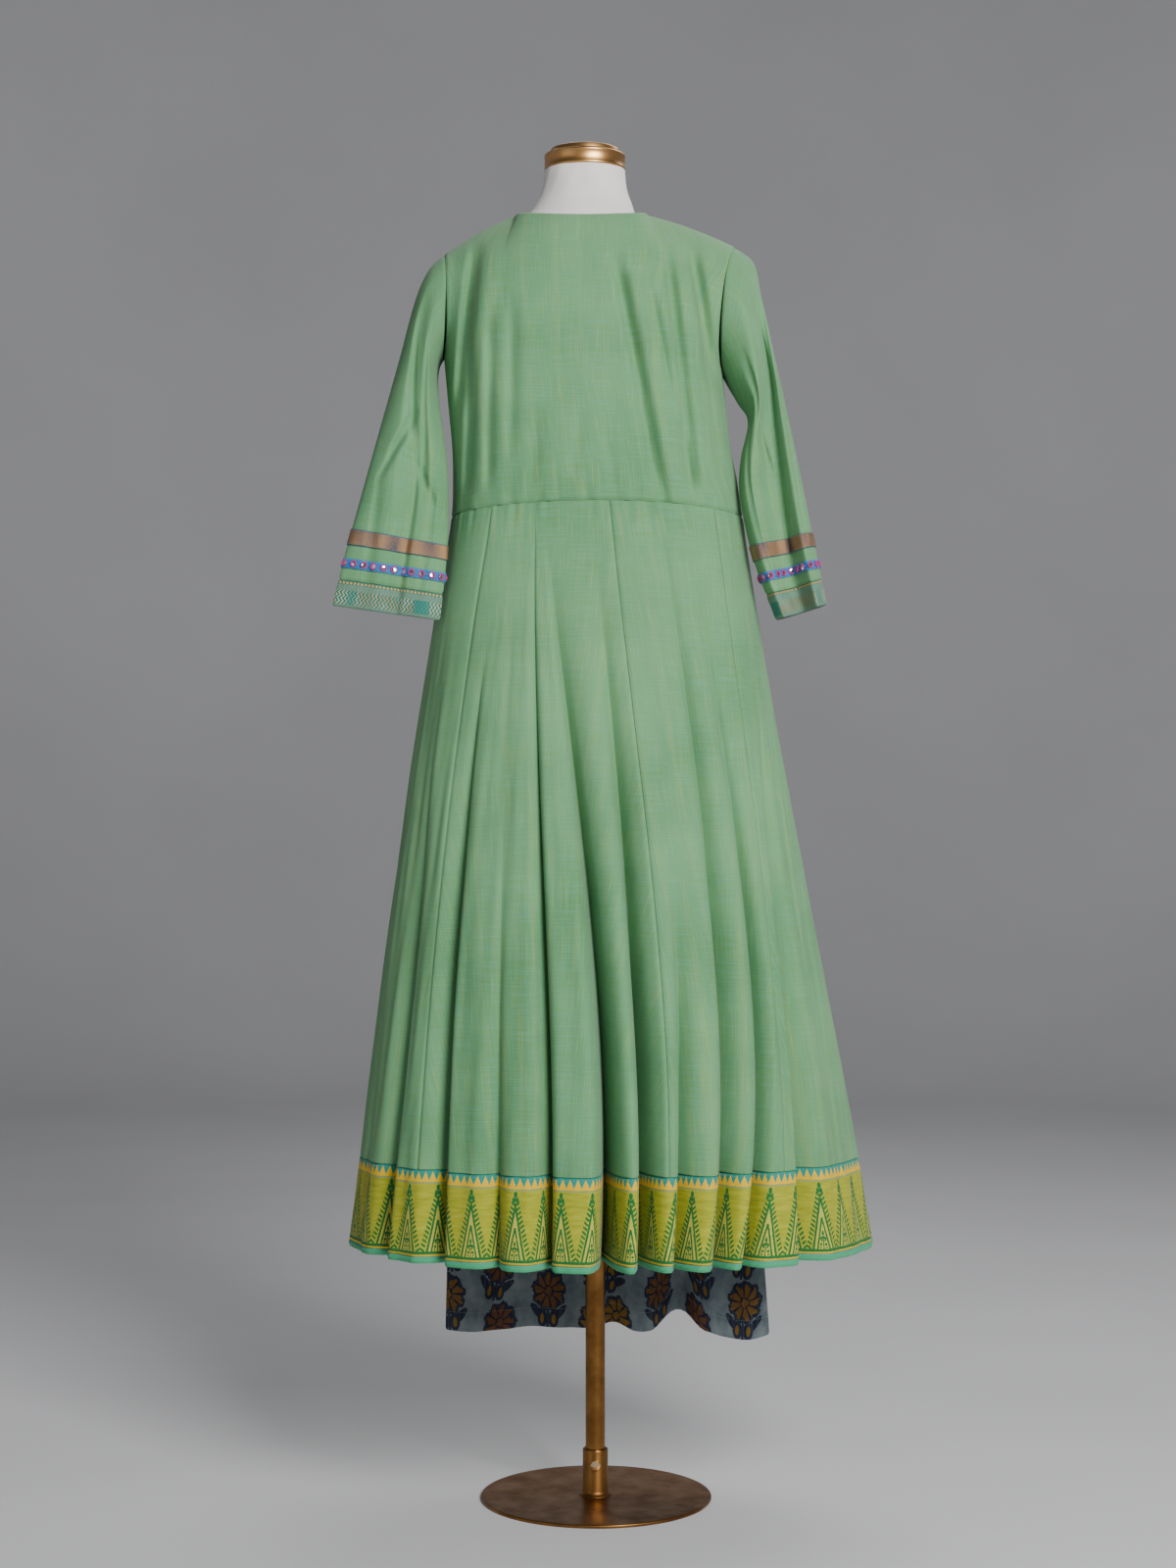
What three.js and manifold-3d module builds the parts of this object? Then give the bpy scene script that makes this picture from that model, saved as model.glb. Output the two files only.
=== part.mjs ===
// Long flared kurti over pants, dressed on a limbless form. Sizes are in millimetres and +Z is up.
// The origin is the centre of the base's underside. -Y is the back of the garment, +X its wearer's right.
import * as THREE from 'three';
import { mergeVertices } from 'three/addons/utils/BufferGeometryUtils.js';
import Module from 'manifold-3d';

// Cloth and seams
const clothWall = 1.2;
const bandWall = 1.0;
const seamGap = 0.3;
const bandLift = 1.75;
const sleeveSetOff = 0.45;

// Levels of the kurti
const waistLevel = 1204;
const waistRise = 12;
const borderTop = 423;
const bindingTop = 323;
const hemLevel = 315;
const shoulderUp = 2;
const neckShare = 0.5;
const yokeRound = 2.4;
const armholeSteps = 9;

// Dress form and stand
const formBottom = 880;
const neckTop = 1630.7;
const capHeight = 26;
const capRadius = 49.5;
const capX = -14;
const poleX = -1;
const poleRadius = 12;
const baseRadius = 141.5;
const baseThickness = 4;
const collarRadius = 15.5;
const collarTop = 61;
const boltLevel = 43.5;
const boltHoleRadius = 4.4;

// Pants
const pantsTop = 1125;
const pantsBandBottom = 1095;
const pantsHem = 190;
const crotchLevel = 835;

const rad = THREE.MathUtils.degToRad;
const { lerp, clamp, smoothstep } = THREE.MathUtils;

// Half-breadths and depths of the kurti's body, from under the arm down to the hem.
const bodyRows = [
  { z: 1412, left: 187, right: 151, back: 104, front: 118, square: 0.36 },
  { z: 1345, left: 181, right: 158, back: 105, front: 124, square: 0.36 },
  { z: 1290, left: 176, right: 164, back: 105, front: 123, square: 0.36 },
  { z: 1250, left: 175, right: 172, back: 104, front: 118, square: 0.36 },
  { z: 1204, left: 177, right: 179, back: 103, front: 112, square: 0.35 },
  { z: 1070, left: 200, right: 200, back: 120, front: 128, square: 0.28 },
  { z: 901, left: 226, right: 229, back: 146, front: 152, square: 0.15 },
  { z: 708, left: 252, right: 266, back: 173, front: 178, square: 0.05 },
  { z: 516, left: 277, right: 304, back: 200, front: 204, square: 0 },
  { z: 315, left: 302, right: 339, back: 228, front: 232, square: 0 },
];

// Folds of the skirt. The bearings at hem, middle and waist are in degrees from the centre back towards
// +X. left and right are the valley's half-widths in degrees, lean slides its bottom sideways.
const skirtFolds = [
  { hem: -59.5, middle: -60, waist: -62, depth: 34, left: 6.5, right: 4, lean: 0.3, start: 900 },
  { hem: -40.8, middle: -43, waist: -36, depth: 46, left: 6.5, right: 3.6, lean: 0.35, start: 1020 },
  { hem: -26, middle: -28, waist: -30, depth: 16, left: 5, right: 5, lean: 0, start: 900 },
  { hem: -14.6, middle: -16.8, waist: -24.6, depth: 30, left: 4, right: 3, lean: 0.15, start: 1190 },
  { hem: -0.7, middle: -3.2, waist: -21.7, depth: 64, left: 4.6, right: 4.2, lean: -0.1, start: 1150 },
  { hem: 7.4, middle: 8, waist: -2.4, depth: 58, left: 3.4, right: 3.6, lean: -0.15, start: 1130 },
  { hem: 15, middle: 20, waist: 12, depth: 32, left: 3.4, right: 4, lean: -0.3, start: 830 },
  { hem: 24, middle: 33, waist: 23.4, depth: 34, left: 4.2, right: 2.7, lean: -0.2, start: 1190 },
  { hem: 29.6, middle: 44, waist: 32, depth: 28, left: 2.7, right: 5, lean: 0, start: 1190 },
  { hem: 46.5, middle: 57, waist: 73, depth: 48, left: 4, right: 7, lean: -0.35, start: 960 },
  { hem: 99, middle: 101, waist: 104, depth: 36, left: 4, right: 6, lean: -0.25, start: 900 },
  { hem: 115, middle: 116, waist: 118, depth: 24, left: 5, right: 4, lean: 0.1, start: 780 },
  { hem: 129, middle: 127, waist: 123, depth: 50, left: 4, right: 5, lean: -0.2, start: 980 },
  { hem: 143, middle: 142, waist: 140, depth: 28, left: 5, right: 4, lean: 0.2, start: 760 },
  { hem: 156, middle: 153, waist: 147, depth: 58, left: 4.2, right: 4.6, lean: 0.1, start: 1040 },
  { hem: 167.5, middle: 166, waist: 163, depth: 36, left: 4, right: 4.4, lean: -0.2, start: 840 },
  { hem: 181, middle: 182, waist: 184, depth: 30, left: 4.6, right: 4, lean: 0.15, start: 920 },
  { hem: 194, middle: 197, waist: 203, depth: 60, left: 4.4, right: 4.2, lean: -0.1, start: 1060 },
  { hem: 207, middle: 208, waist: 210, depth: 26, left: 5, right: 5, lean: 0, start: 760 },
  { hem: 221, middle: 222, waist: 226, depth: 46, left: 4, right: 5, lean: -0.25, start: 960 },
  { hem: 237, middle: 236, waist: 232, depth: 30, left: 6, right: 4, lean: 0.2, start: 820 },
  { hem: 253, middle: 251, waist: 247, depth: 42, left: 4.4, right: 5, lean: -0.2, start: 920 },
  { hem: 265, middle: 264, waist: 263, depth: 22, left: 4, right: 5, lean: 0, start: 720 },
];

// Skirt panels, each from one seam to the next, by the bearing at the hem.
const skirtPanels = [
  { name: 'skirt_side_back_left', from: -88, to: -47.5 },
  { name: 'skirt_back_left', from: -47.5, to: 11.1 },
  { name: 'skirt_back_right', from: 11.1, to: 38 },
  { name: 'skirt_side_back_right', from: 38, to: 90 },
  { name: 'skirt_side_front_right', from: 90, to: 136 },
  { name: 'skirt_front_right', from: 136, to: 174.4 },
  { name: 'skirt_front_left', from: 174.4, to: 214 },
  { name: 'skirt_side_front_left', from: 214, to: 272 },
];
const skirtLevels = [waistLevel, 1095, 985, 865, 730, 580, borderTop];

// Sleeves, row by row down their length: the outer and inner edges, the place and half-depth in Y,
// the scoop of the armhole, and one lengthwise fold in the back layer.
const leftSleeve = {
  side: -1,
  foldToOuter: 26,
  foldToInner: 30,
  rows: [
    { down: 0, outX: -187, outZ: 1526, inX: -187.2, inZ: 1401.4, y: 0, deep: 62, scoop: 6, foldAt: 70, fold: 0 },
    { down: 19, outX: -204, outZ: 1508, inX: -193, inZ: 1388, y: -5, deep: 61, scoop: 3, foldAt: 72, fold: 3 },
    { down: 48, outX: -219, outZ: 1474, inX: -193.5, inZ: 1366, y: -10, deep: 58, scoop: 0, foldAt: 76, fold: 8 },
    { down: 109, outX: -240, outZ: 1395, inX: -189, inZ: 1325, y: -20, deep: 50, scoop: 0, foldAt: 84, fold: 9 },
    { down: 179, outX: -262, outZ: 1312, inX: -180.5, inZ: 1268, y: -33, deep: 37, scoop: 0, foldAt: 92, fold: 6 },
    { down: 251, outX: -283, outZ: 1232, inX: -178, inZ: 1205, y: -46, deep: 25, scoop: 0, foldAt: 96, fold: 5 },
    { down: 314, outX: -300, outZ: 1166, inX: -180.5, inZ: 1147, y: -57, deep: 15, scoop: 0, foldAt: 98, fold: 5 },
    { down: 388, outX: -318, outZ: 1092, inX: -188, inZ: 1074, y: -66, deep: 9, scoop: 0, foldAt: 98, fold: 4 },
  ],
};
const rightSleeve = {
  side: 1,
  foldToOuter: 34,
  foldToInner: 52,
  rows: [
    { down: 0, outX: 172, outZ: 1535, inX: 155.6, inZ: 1383, y: 0, deep: 64, scoop: 12, foldAt: 34, fold: 0 },
    { down: 23, outX: 193, outZ: 1516, inX: 162, inZ: 1366, y: -5, deep: 63, scoop: 6, foldAt: 38, fold: 8 },
    { down: 55, outX: 201, outZ: 1476, inX: 173, inZ: 1344, y: -11, deep: 59, scoop: 0, foldAt: 48, fold: 15 },
    { down: 107, outX: 217, outZ: 1400, inX: 185, inZ: 1320, y: -21, deep: 50, scoop: 0, foldAt: 66, fold: 22 },
    { down: 172, outX: 233, outZ: 1325, inX: 175.5, inZ: 1272, y: -31, deep: 43, scoop: 0, foldAt: 76, fold: 27 },
    { down: 235, outX: 250, outZ: 1240, inX: 174, inZ: 1226, y: -40, deep: 38, scoop: 0, foldAt: 82, fold: 31 },
    { down: 311, outX: 264, outZ: 1168, inX: 190, inZ: 1150, y: -46, deep: 34, scoop: 0, foldAt: 86, fold: 33 },
    { down: 389, outX: 279, outZ: 1094, inX: 217, inZ: 1075, y: -50, deep: 32, scoop: 0, foldAt: 88, fold: 34 },
  ],
};

// Bands at the cuff, measured up the sleeve from its end.
const cuffBorderDeep = 32;
const tapeFrom = 46.5;
const tapeTo = 58;
const brocadeFrom = 74;
const brocadeTo = 92.7;

// Neck and shoulder line of the bodice.
const neckLeft = new THREE.Vector3(-97, -3, 1576);
const neckRight = new THREE.Vector3(62, -3, 1576);
const necklines = {
  back: { drop: 10, deep: 55, bulge: 5, shoulderBow: 4 },
  front: { drop: 96, deep: 98, bulge: 4, shoulderBow: 4 },
};

// Soft creases of the bodice's back, each a line across the cloth with its depth and half-width.
const backCreases = [
  { fromX: 21, fromZ: 1505, toX: 82, toZ: 1190, depth: 8, width: 17 },
  { fromX: 82, fromZ: 1515, toX: 117, toZ: 1218, depth: 6, width: 15 },
  { fromX: 112, fromZ: 1530, toX: 132, toZ: 1385, depth: 7, width: 15 },
  { fromX: -150, fromZ: 1520, toX: -156, toZ: 1330, depth: 6, width: 17 },
];

// The dress form, from the hip up to the neck.
const formRows = [
  { z: 880, x: -1, half: 140, back: 84, front: 88 },
  { z: 890, x: -1, half: 152, back: 92, front: 96 },
  { z: 950, x: -1, half: 163, back: 104, front: 106 },
  { z: 1040, x: -2, half: 147, back: 96, front: 98 },
  { z: 1118, x: -3, half: 121, back: 80, front: 84 },
  { z: 1200, x: -5, half: 128, back: 82, front: 92 },
  { z: 1290, x: -7, half: 143, back: 90, front: 110 },
  { z: 1370, x: -9, half: 148, back: 94, front: 110 },
  { z: 1440, x: -11, half: 150, back: 92, front: 88 },
  { z: 1500, x: -13, half: 149, back: 74, front: 62 },
  { z: 1535, x: -15.5, half: 135, back: 58, front: 50 },
  { z: 1555, x: -17, half: 107.3, back: 49, front: 40 },
  { z: 1570.5, x: -17.7, half: 75.6, back: 45.5, front: 38 },
  { z: 1590, x: -15, half: 59, back: 46, front: 45 },
  { z: 1610, x: -14, half: 51.5, back: 48, front: 48 },
  { z: neckTop, x: -14, half: 49.4, back: 48, front: 48 },
];

// Pants hung across the front of the form, from the waistband down to the hem. wide and deep are the
// half-axes of the curve that the flattened cloth follows, thick is half the space between its layers.
const pantsRows = [
  { z: 1125, wide: 127, deep: 87.7, left: -119, right: 115, thick: 2.4, mid: -2 },
  { z: 1095, wide: 132, deep: 92.3, left: -123, right: 119, thick: 2.6, mid: -2 },
  { z: 1040, wide: 156, deep: 106, left: -136, right: 134, thick: 3.4, mid: -1 },
  { z: 950, wide: 176, deep: 117, left: -158, right: 158, thick: 5, mid: 0 },
  { z: 880, wide: 190, deep: 115, left: -164, right: 166, thick: 6.5, mid: 1 },
  { z: 780, wide: 240, deep: 108, left: -171, right: 174, thick: 8, mid: 1 },
  { z: 600, wide: 320, deep: 103, left: -178, right: 189, thick: 9, mid: 1 },
  { z: 400, wide: 420, deep: 98, left: -184, right: 203, thick: 9, mid: 1 },
  { z: 190, wide: 520, deep: 94, left: -189, right: 218, thick: 9, mid: 1 },
];
const pantsLevels = [pantsBandBottom - seamGap, 1040, 950, 870, 815, 700, 520, 360, 270, pantsHem];

// Lengthwise folds of the legs, by their place across the hem, and the rise or drop of the hem there.
const pantsFolds = [
  { x: -128, depth: 9, left: 28, right: 24 },
  { x: -52, depth: -9, left: 30, right: 26 },
  { x: 46, depth: -8, left: 24, right: 30 },
  { x: 112, depth: 17, left: 46, right: 15 },
  { x: 172, depth: 7, left: 22, right: 22 },
];
const pantsHemRises = [
  { x: -150, rise: -4, width: 60 },
  { x: -70, rise: 4, width: 60 },
  { x: 22, rise: 8, width: 26 },
  { x: 62, rise: -3, width: 24 },
  { x: 104, rise: 22, width: 34 },
  { x: 185, rise: -14, width: 60 },
];

// Materials
const finish = (color, roughness, metalness = 0) =>
  new THREE.MeshStandardMaterial({ color, roughness, metalness });
const greenCotton = () => finish(0x7c9e84, 0.8);
const printedPants = () => finish(0xb9bcb4, 0.85);
const brass = () => finish(0xb0834e, 0.3, 1);
const bronze = () => finish(0x5c3f1c, 0.35, 1);

// Values between the rows of a table, on a smooth curve through them.
function sampleRows(rows, key, at) {
  const last = rows.length - 1;
  const sense = Math.sign(rows[last][key] - rows[0][key]);
  let i = 0;
  while (i < last - 1 && (at - rows[i + 1][key]) * sense > 0) i += 1;
  const from = rows[i];
  const to = rows[i + 1];
  const before = rows[Math.max(i - 1, 0)];
  const after = rows[Math.min(i + 2, last)];
  const span = to[key] - from[key];
  const t = clamp((at - from[key]) / span, 0, 1);
  const row = {};
  for (const column of Object.keys(from)) {
    const slopeFrom = ((to[column] - before[column]) / (to[key] - before[key])) * span;
    const slopeTo = ((after[column] - from[column]) / (after[key] - from[key])) * span;
    row[column] =
      from[column] * (2 * t ** 3 - 3 * t ** 2 + 1) +
      slopeFrom * (t ** 3 - 2 * t ** 2 + t) +
      to[column] * (3 * t ** 2 - 2 * t ** 3) +
      slopeTo * (t ** 3 - t ** 2);
  }
  return row;
}

// A valley's share of its depth, at an offset from its middle, with its own width on each side.
function valley(offset, left, right) {
  const share = offset < 0 ? offset / left : offset / right;
  return Math.abs(share) < 1 ? (1 - share ** 2) ** 2 : 0;
}

// A closed wall of cloth. surface(a, b) is its outer face, and the wall is laid inside it.
function wallGeometry(surface, columns, rows, options = {}) {
  const { ring = false, thick = clothWall, stepA = 0.01, stepB = 0.01, sense = 1, shapeNormal } = options;
  const outer = [];
  const inner = [];
  for (const b of rows) {
    for (const a of columns) {
      const point = surface(a, b);
      const alongA = surface(a + stepA, b).sub(surface(a - stepA, b));
      const alongB = surface(a, b + stepB).sub(surface(a, b - stepB));
      const normal = alongA.cross(alongB).multiplyScalar(sense);
      if (shapeNormal) shapeNormal(normal, a, b);
      normal.normalize();
      outer.push(point);
      inner.push(point.clone().addScaledVector(normal, -thick));
    }
  }
  const wide = columns.length;
  const high = rows.length;
  const shift = outer.length;
  const faces = [];
  const quad = (p, q, r, s) => faces.push(p, q, r, p, r, s);
  for (let j = 0; j < high - 1; j += 1) {
    for (let i = 0; i < (ring ? wide : wide - 1); i += 1) {
      const p = j * wide + i;
      const q = j * wide + ((i + 1) % wide);
      quad(p, q, q + wide, p + wide);
      quad(p + shift, p + wide + shift, q + wide + shift, q + shift);
    }
  }
  for (let i = 0; i < (ring ? wide : wide - 1); i += 1) {
    const next = (i + 1) % wide;
    const end = (high - 1) * wide;
    quad(i, i + shift, next + shift, next);
    quad(end + i, end + next, end + next + shift, end + i + shift);
  }
  if (!ring) {
    for (let j = 0; j < high - 1; j += 1) {
      const p = j * wide;
      const q = p + wide - 1;
      quad(p, p + wide, p + wide + shift, p + shift);
      quad(q, q + shift, q + wide + shift, q + wide);
    }
  }
  return closedGeometry([...outer, ...inner], faces);
}

// Indexed geometry with its faces turned outwards.
function closedGeometry(points, faces) {
  let volume = 0;
  for (let i = 0; i < faces.length; i += 3) {
    const [p, q, r] = [points[faces[i]], points[faces[i + 1]], points[faces[i + 2]]];
    volume += p.dot(q.clone().cross(r));
  }
  const index = volume < 0 ? faces.slice().reverse() : faces;
  const geometry = new THREE.BufferGeometry();
  geometry.setAttribute('position', new THREE.Float32BufferAttribute(points.flatMap((p) => p.toArray()), 3));
  geometry.setIndex(index);
  geometry.computeVertexNormals();
  return geometry;
}

const part = new THREE.Group();

function addMesh(name, geometry, material) {
  const mesh = new THREE.Mesh(geometry, material);
  mesh.name = name;
  part.add(mesh);
  return mesh;
}

const spread = (from, to, count) =>
  Array.from({ length: count + 1 }, (_, i) => lerp(from, to, i / count));

// One ring of the kurti's body: the point at a bearing in degrees from the centre back.
function bodyPoint(bearing, z) {
  const row = sampleRows(bodyRows, 'z', z);
  const angle = rad(bearing);
  const depth = Math.cos(angle) > 0 ? row.back : row.front;
  const x = (row.right - row.left) / 2 + ((row.right + row.left) / 2) * Math.sin(angle);
  const y = -depth * Math.cos(angle) * (1 + row.square * Math.sin(angle) ** 2);
  return new THREE.Vector3(x, y, z);
}

// The waist seam rises a little at the centre back and front.
const waistSeam = (bearing) => waistLevel + waistRise * Math.cos(rad(bearing)) ** 2;

// Bearing at a level of the cloth that reaches the hem at another, because the folds swing on their way.
function skirtBearing(hem, fall) {
  const turn = Math.floor((hem - skirtFolds[0].hem) / 360) * 360;
  const place = hem - turn;
  const next = skirtFolds.findIndex((fold) => fold.hem > place);
  const from = skirtFolds[next < 0 ? skirtFolds.length - 1 : next - 1];
  const to = next < 0 ? shiftedFold(skirtFolds[0], 360) : skirtFolds[next];
  const share = (place - from.hem) / (to.hem - from.hem);
  const waist = lerp(from.waist, to.waist, share);
  const middle = lerp(from.middle, to.middle, share);
  const swing = waist * (1 - fall) * (1 - 2 * fall) + middle * 4 * fall * (1 - fall);
  return turn + swing + place * fall * (2 * fall - 1);
}

function shiftedFold(fold, turn) {
  return { hem: fold.hem + turn, middle: fold.middle + turn, waist: fold.waist + turn };
}

const foldGrowth = (fold, level) => clamp((fold.start - level) / (fold.start - hemLevel), 0, 1) ** 1.3;

// The skirt's outer face, by the bearing at the hem and the level.
function skirtPoint(hem, level) {
  const fall = clamp((waistLevel - level) / (waistLevel - hemLevel), 0, 1);
  const bearing = skirtBearing(hem, fall);
  const point = bodyPoint(bearing, level);
  const outward = bodyPoint(bearing + 0.5, level).sub(bodyPoint(bearing - 0.5, level));
  outward.set(outward.y, -outward.x, 0).normalize();
  const sideways = new THREE.Vector3(-outward.y, outward.x, 0);
  for (const fold of skirtFolds) {
    const offset = THREE.MathUtils.euclideanModulo(hem - fold.hem + 180, 360) - 180;
    const push = fold.depth * foldGrowth(fold, level) * valley(offset, fold.left, fold.right);
    point.addScaledVector(outward, -push).addScaledVector(sideways, push * fold.lean);
  }
  const above = clamp((level - borderTop) / (waistLevel - borderTop), 0, 1);
  point.z += (waistSeam(bearing) - waistLevel) * above;
  return point;
}

// Columns of the skirt: five across each fold, and more where a smooth stretch is wide.
function skirtColumns(from, to) {
  const marks = [-360, 0, 360]
    .flatMap((turn) =>
      skirtFolds.flatMap((fold) =>
        [-fold.left, -fold.left / 2, 0, fold.right / 2, fold.right].map((step) => fold.hem + turn + step),
      ),
    )
    .filter((mark) => mark > from + 0.8 && mark < to - 0.8)
    .sort((a, b) => a - b);
  const columns = [from];
  for (const mark of [...marks, to]) {
    const last = columns[columns.length - 1];
    if (mark !== to && mark - last < 0.9) continue;
    const parts = Math.ceil((mark - last) / 6.5);
    columns.push(...spread(last, mark, parts).slice(1));
  }
  return columns;
}

// Lays a normal level, so that a wall's cut edges stay square.
const level = (normal) => normal.setZ(0);
const skirtWall = { stepA: 0.05, stepB: 0.5, sense: -1, shapeNormal: level };

function addSkirt() {
  const halfGap = 0.035;
  const levels = skirtLevels.slice();
  levels[0] -= seamGap / 2;
  levels[levels.length - 1] += seamGap;
  for (const { name, from, to } of skirtPanels) {
    const columns = skirtColumns(from + halfGap, to - halfGap);
    addMesh(name, wallGeometry(skirtPoint, columns, levels, skirtWall), greenCotton());
  }
  const ring = skirtColumns(skirtPanels[0].from, skirtPanels[0].from + 360).slice(0, -1);
  const borderLevels = [borderTop, (borderTop + bindingTop) / 2, bindingTop + seamGap];
  const bindingLevels = [bindingTop, hemLevel];
  const ringWall = { ...skirtWall, ring: true };
  addMesh('hem_border', wallGeometry(skirtPoint, ring, borderLevels, ringWall), finish(0x94903a, 0.8));
  addMesh('hem_binding', wallGeometry(skirtPoint, ring, bindingLevels, ringWall), finish(0x4fa878, 0.8));
}

// A sleeve's outer face. The angle starts at its outer edge and turns round the back to the inner edge.
function sleevePoint(sleeve, angle, down) {
  const row = sampleRows(sleeve.rows, 'down', down);
  const turn = rad(angle);
  const cosine = Math.cos(turn);
  const sine = Math.sin(turn);
  const foldOffset = THREE.MathUtils.euclideanModulo(angle - row.foldAt + 180, 360) - 180;
  const fold = row.fold * valley(foldOffset, sleeve.foldToOuter, sleeve.foldToInner);
  const x = lerp(row.inX, row.outX, (1 + cosine) / 2) - sleeve.side * row.scoop * Math.abs(sine);
  const z = lerp(row.inZ, row.outZ, (1 + cosine) / 2);
  return new THREE.Vector3(x, row.y - row.deep * sine + fold, z);
}

function addSleeve(sleeve, label) {
  const length = sleeve.rows[sleeve.rows.length - 1].down;
  const foldAt = sleeve.rows[sleeve.rows.length - 1].foldAt;
  const setPoint = (lift) => (angle, down) => {
    const point = sleevePoint(sleeve, angle, down);
    point.x += sleeve.side * sleeveSetOff;
    if (!lift) return point;
    const around = sleevePoint(sleeve, angle + 1, down).sub(sleevePoint(sleeve, angle - 1, down));
    const along = sleevePoint(sleeve, angle, down + 1).sub(sleevePoint(sleeve, angle, down - 1));
    return point.addScaledVector(around.cross(along).normalize(), lift * sleeve.side);
  };
  const angles = spread(0, 360, 2 * armholeSteps)
    .slice(0, -1)
    .concat([foldAt - sleeve.foldToOuter / 2, foldAt + 10, foldAt])
    .sort((a, b) => a - b)
    .filter((angle, i, all) => i === 0 || angle - all[i - 1] > 3);
  const cuffLine = length - cuffBorderDeep;
  const bandEdges = [length - brocadeTo, length - brocadeFrom, length - tapeTo, length - tapeFrom];
  const downs = [0, 11, 24, 50, 80, 110, 145, 180, 215, 255, ...bandEdges, cuffLine - seamGap];
  const tube = { ring: true, stepA: 1, stepB: 1, sense: sleeve.side };
  const setIn = (normal, angle, down) => {
    if (down === 0) normal.x = 0;
  };
  const band = { ...tube, thick: bandWall };
  const [brocadeTop, brocadeEnd, tapeTop, tapeEnd] = bandEdges;
  const inArmhole = { ...tube, shapeNormal: setIn };
  addMesh(`sleeve_${label}`, wallGeometry(setPoint(0), angles, downs, inArmhole), greenCotton());
  addMesh(
    `cuff_border_${label}`,
    wallGeometry(setPoint(0), angles, [cuffLine, length - cuffBorderDeep / 2, length], tube),
    finish(0x2f6f5f, 0.6),
  );
  addMesh(
    `brocade_band_${label}`,
    wallGeometry(setPoint(bandLift), angles, [brocadeTop, brocadeEnd], band),
    finish(0x9a765c, 0.5, 0.3),
  );
  addMesh(
    `mirror_tape_${label}`,
    wallGeometry(setPoint(bandLift), angles, [tapeTop, tapeEnd], band),
    finish(0x2b6ea3, 0.6),
  );
}

// The bodice's upper edge, from one armhole along the shoulder, the neckline and the other shoulder.
function topEdge(across, neckline, face) {
  const left = sleevePoint(leftSleeve, 0, 0);
  const right = sleevePoint(rightSleeve, 0, 0);
  if (Math.abs(across) >= neckShare) {
    const [tip, neck] = across < 0 ? [left, neckLeft] : [right, neckRight];
    const share = (1 - Math.abs(across)) / (1 - neckShare);
    const point = tip.clone().lerp(neck, share);
    point.z += neckline.shoulderBow * Math.sin(Math.PI * share);
    return point;
  }
  const turn = (across / neckShare) * (Math.PI / 2);
  const point = neckLeft.clone().lerp(neckRight, (1 + Math.sin(turn)) / 2);
  point.y -= face * neckline.deep * Math.cos(turn) ** 0.8;
  point.z -= neckline.drop * Math.cos(turn) ** 1.5;
  return point;
}

// The bodice's outer face: across from -1 to 1, up from the waist at 0, past the underarm at 1, to 2.
function bodicePoint(face, across, up) {
  const neckline = face > 0 ? necklines.back : necklines.front;
  const bearing = face > 0 ? across * 90 : 180 - across * 90;
  const underarm = lerp(leftSleeve.rows[0].inZ, rightSleeve.rows[0].inZ, (across + 1) / 2) - seamGap;
  const bottom = waistSeam(bearing);
  if (up <= 1) return bodyPoint(bearing, lerp(bottom, underarm, up));
  const rise = up - 1;
  const share = (across + 1) / 2;
  const armAngle = face * 180 * (1 - rise);
  const low = bodyPoint(bearing, underarm);
  const high = topEdge(across, neckline, face);
  const point = low.clone().lerp(high, rise);
  point.y = lerp(low.y, high.y, rise ** yokeRound);
  for (const [sleeve, weight] of [[leftSleeve, (1 - share) ** 6], [rightSleeve, share ** 6]]) {
    const chord = sleevePoint(sleeve, 180, 0).lerp(sleevePoint(sleeve, 0, 0), rise);
    chord.y = 0;
    point.addScaledVector(sleevePoint(sleeve, armAngle, 0).sub(chord), weight);
  }
  point.y -= face * neckline.bulge * Math.sin(Math.PI * rise) * (1 - across ** 2);
  return point;
}

function creaseDepth(x, z) {
  let depth = 0;
  for (const crease of backCreases) {
    const run = clamp((crease.fromZ - z) / (crease.fromZ - crease.toZ), 0, 1);
    const offset = x - lerp(crease.fromX, crease.toX, run);
    const below = smoothstep(z, crease.toZ - 25, crease.toZ + 40);
    const above = 1 - smoothstep(z, crease.fromZ - 40, crease.fromZ);
    depth += crease.depth * below * above * valley(offset, crease.width, crease.width);
  }
  return depth;
}

function addBodice() {
  const across = spread(-1, 1, 20);
  const seamUp = 0.0008;
  const ups = [seamUp, 0.25, 0.5, 0.75, ...spread(1, shoulderUp, armholeSteps)];
  for (const [name, face] of [['bodice_back', 1], ['bodice_front', -1]]) {
    const surface = (a, b) => {
      const point = bodicePoint(face, a, b);
      point.y -= (face * seamGap) / 2;
      if (face > 0) point.y += creaseDepth(point.x, point.z);
      return point;
    };
    const shapeNormal = (normal, a, b) => {
      if (b < 0.01) normal.z = 0;
      if (Math.abs(a) >= neckShare) normal.y *= 1 - smoothstep(b, 1.9, shoulderUp);
      if (Math.abs(a) === 1 && b < 1) normal.y = 0;
      if (Math.abs(a) === 1 && b > 1.05) normal.x = 0;
    };
    const options = { sense: -face, stepA: 0.002, stepB: 0.002, shapeNormal };
    addMesh(name, wallGeometry(surface, across, ups, options), greenCotton());
  }
}

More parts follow.
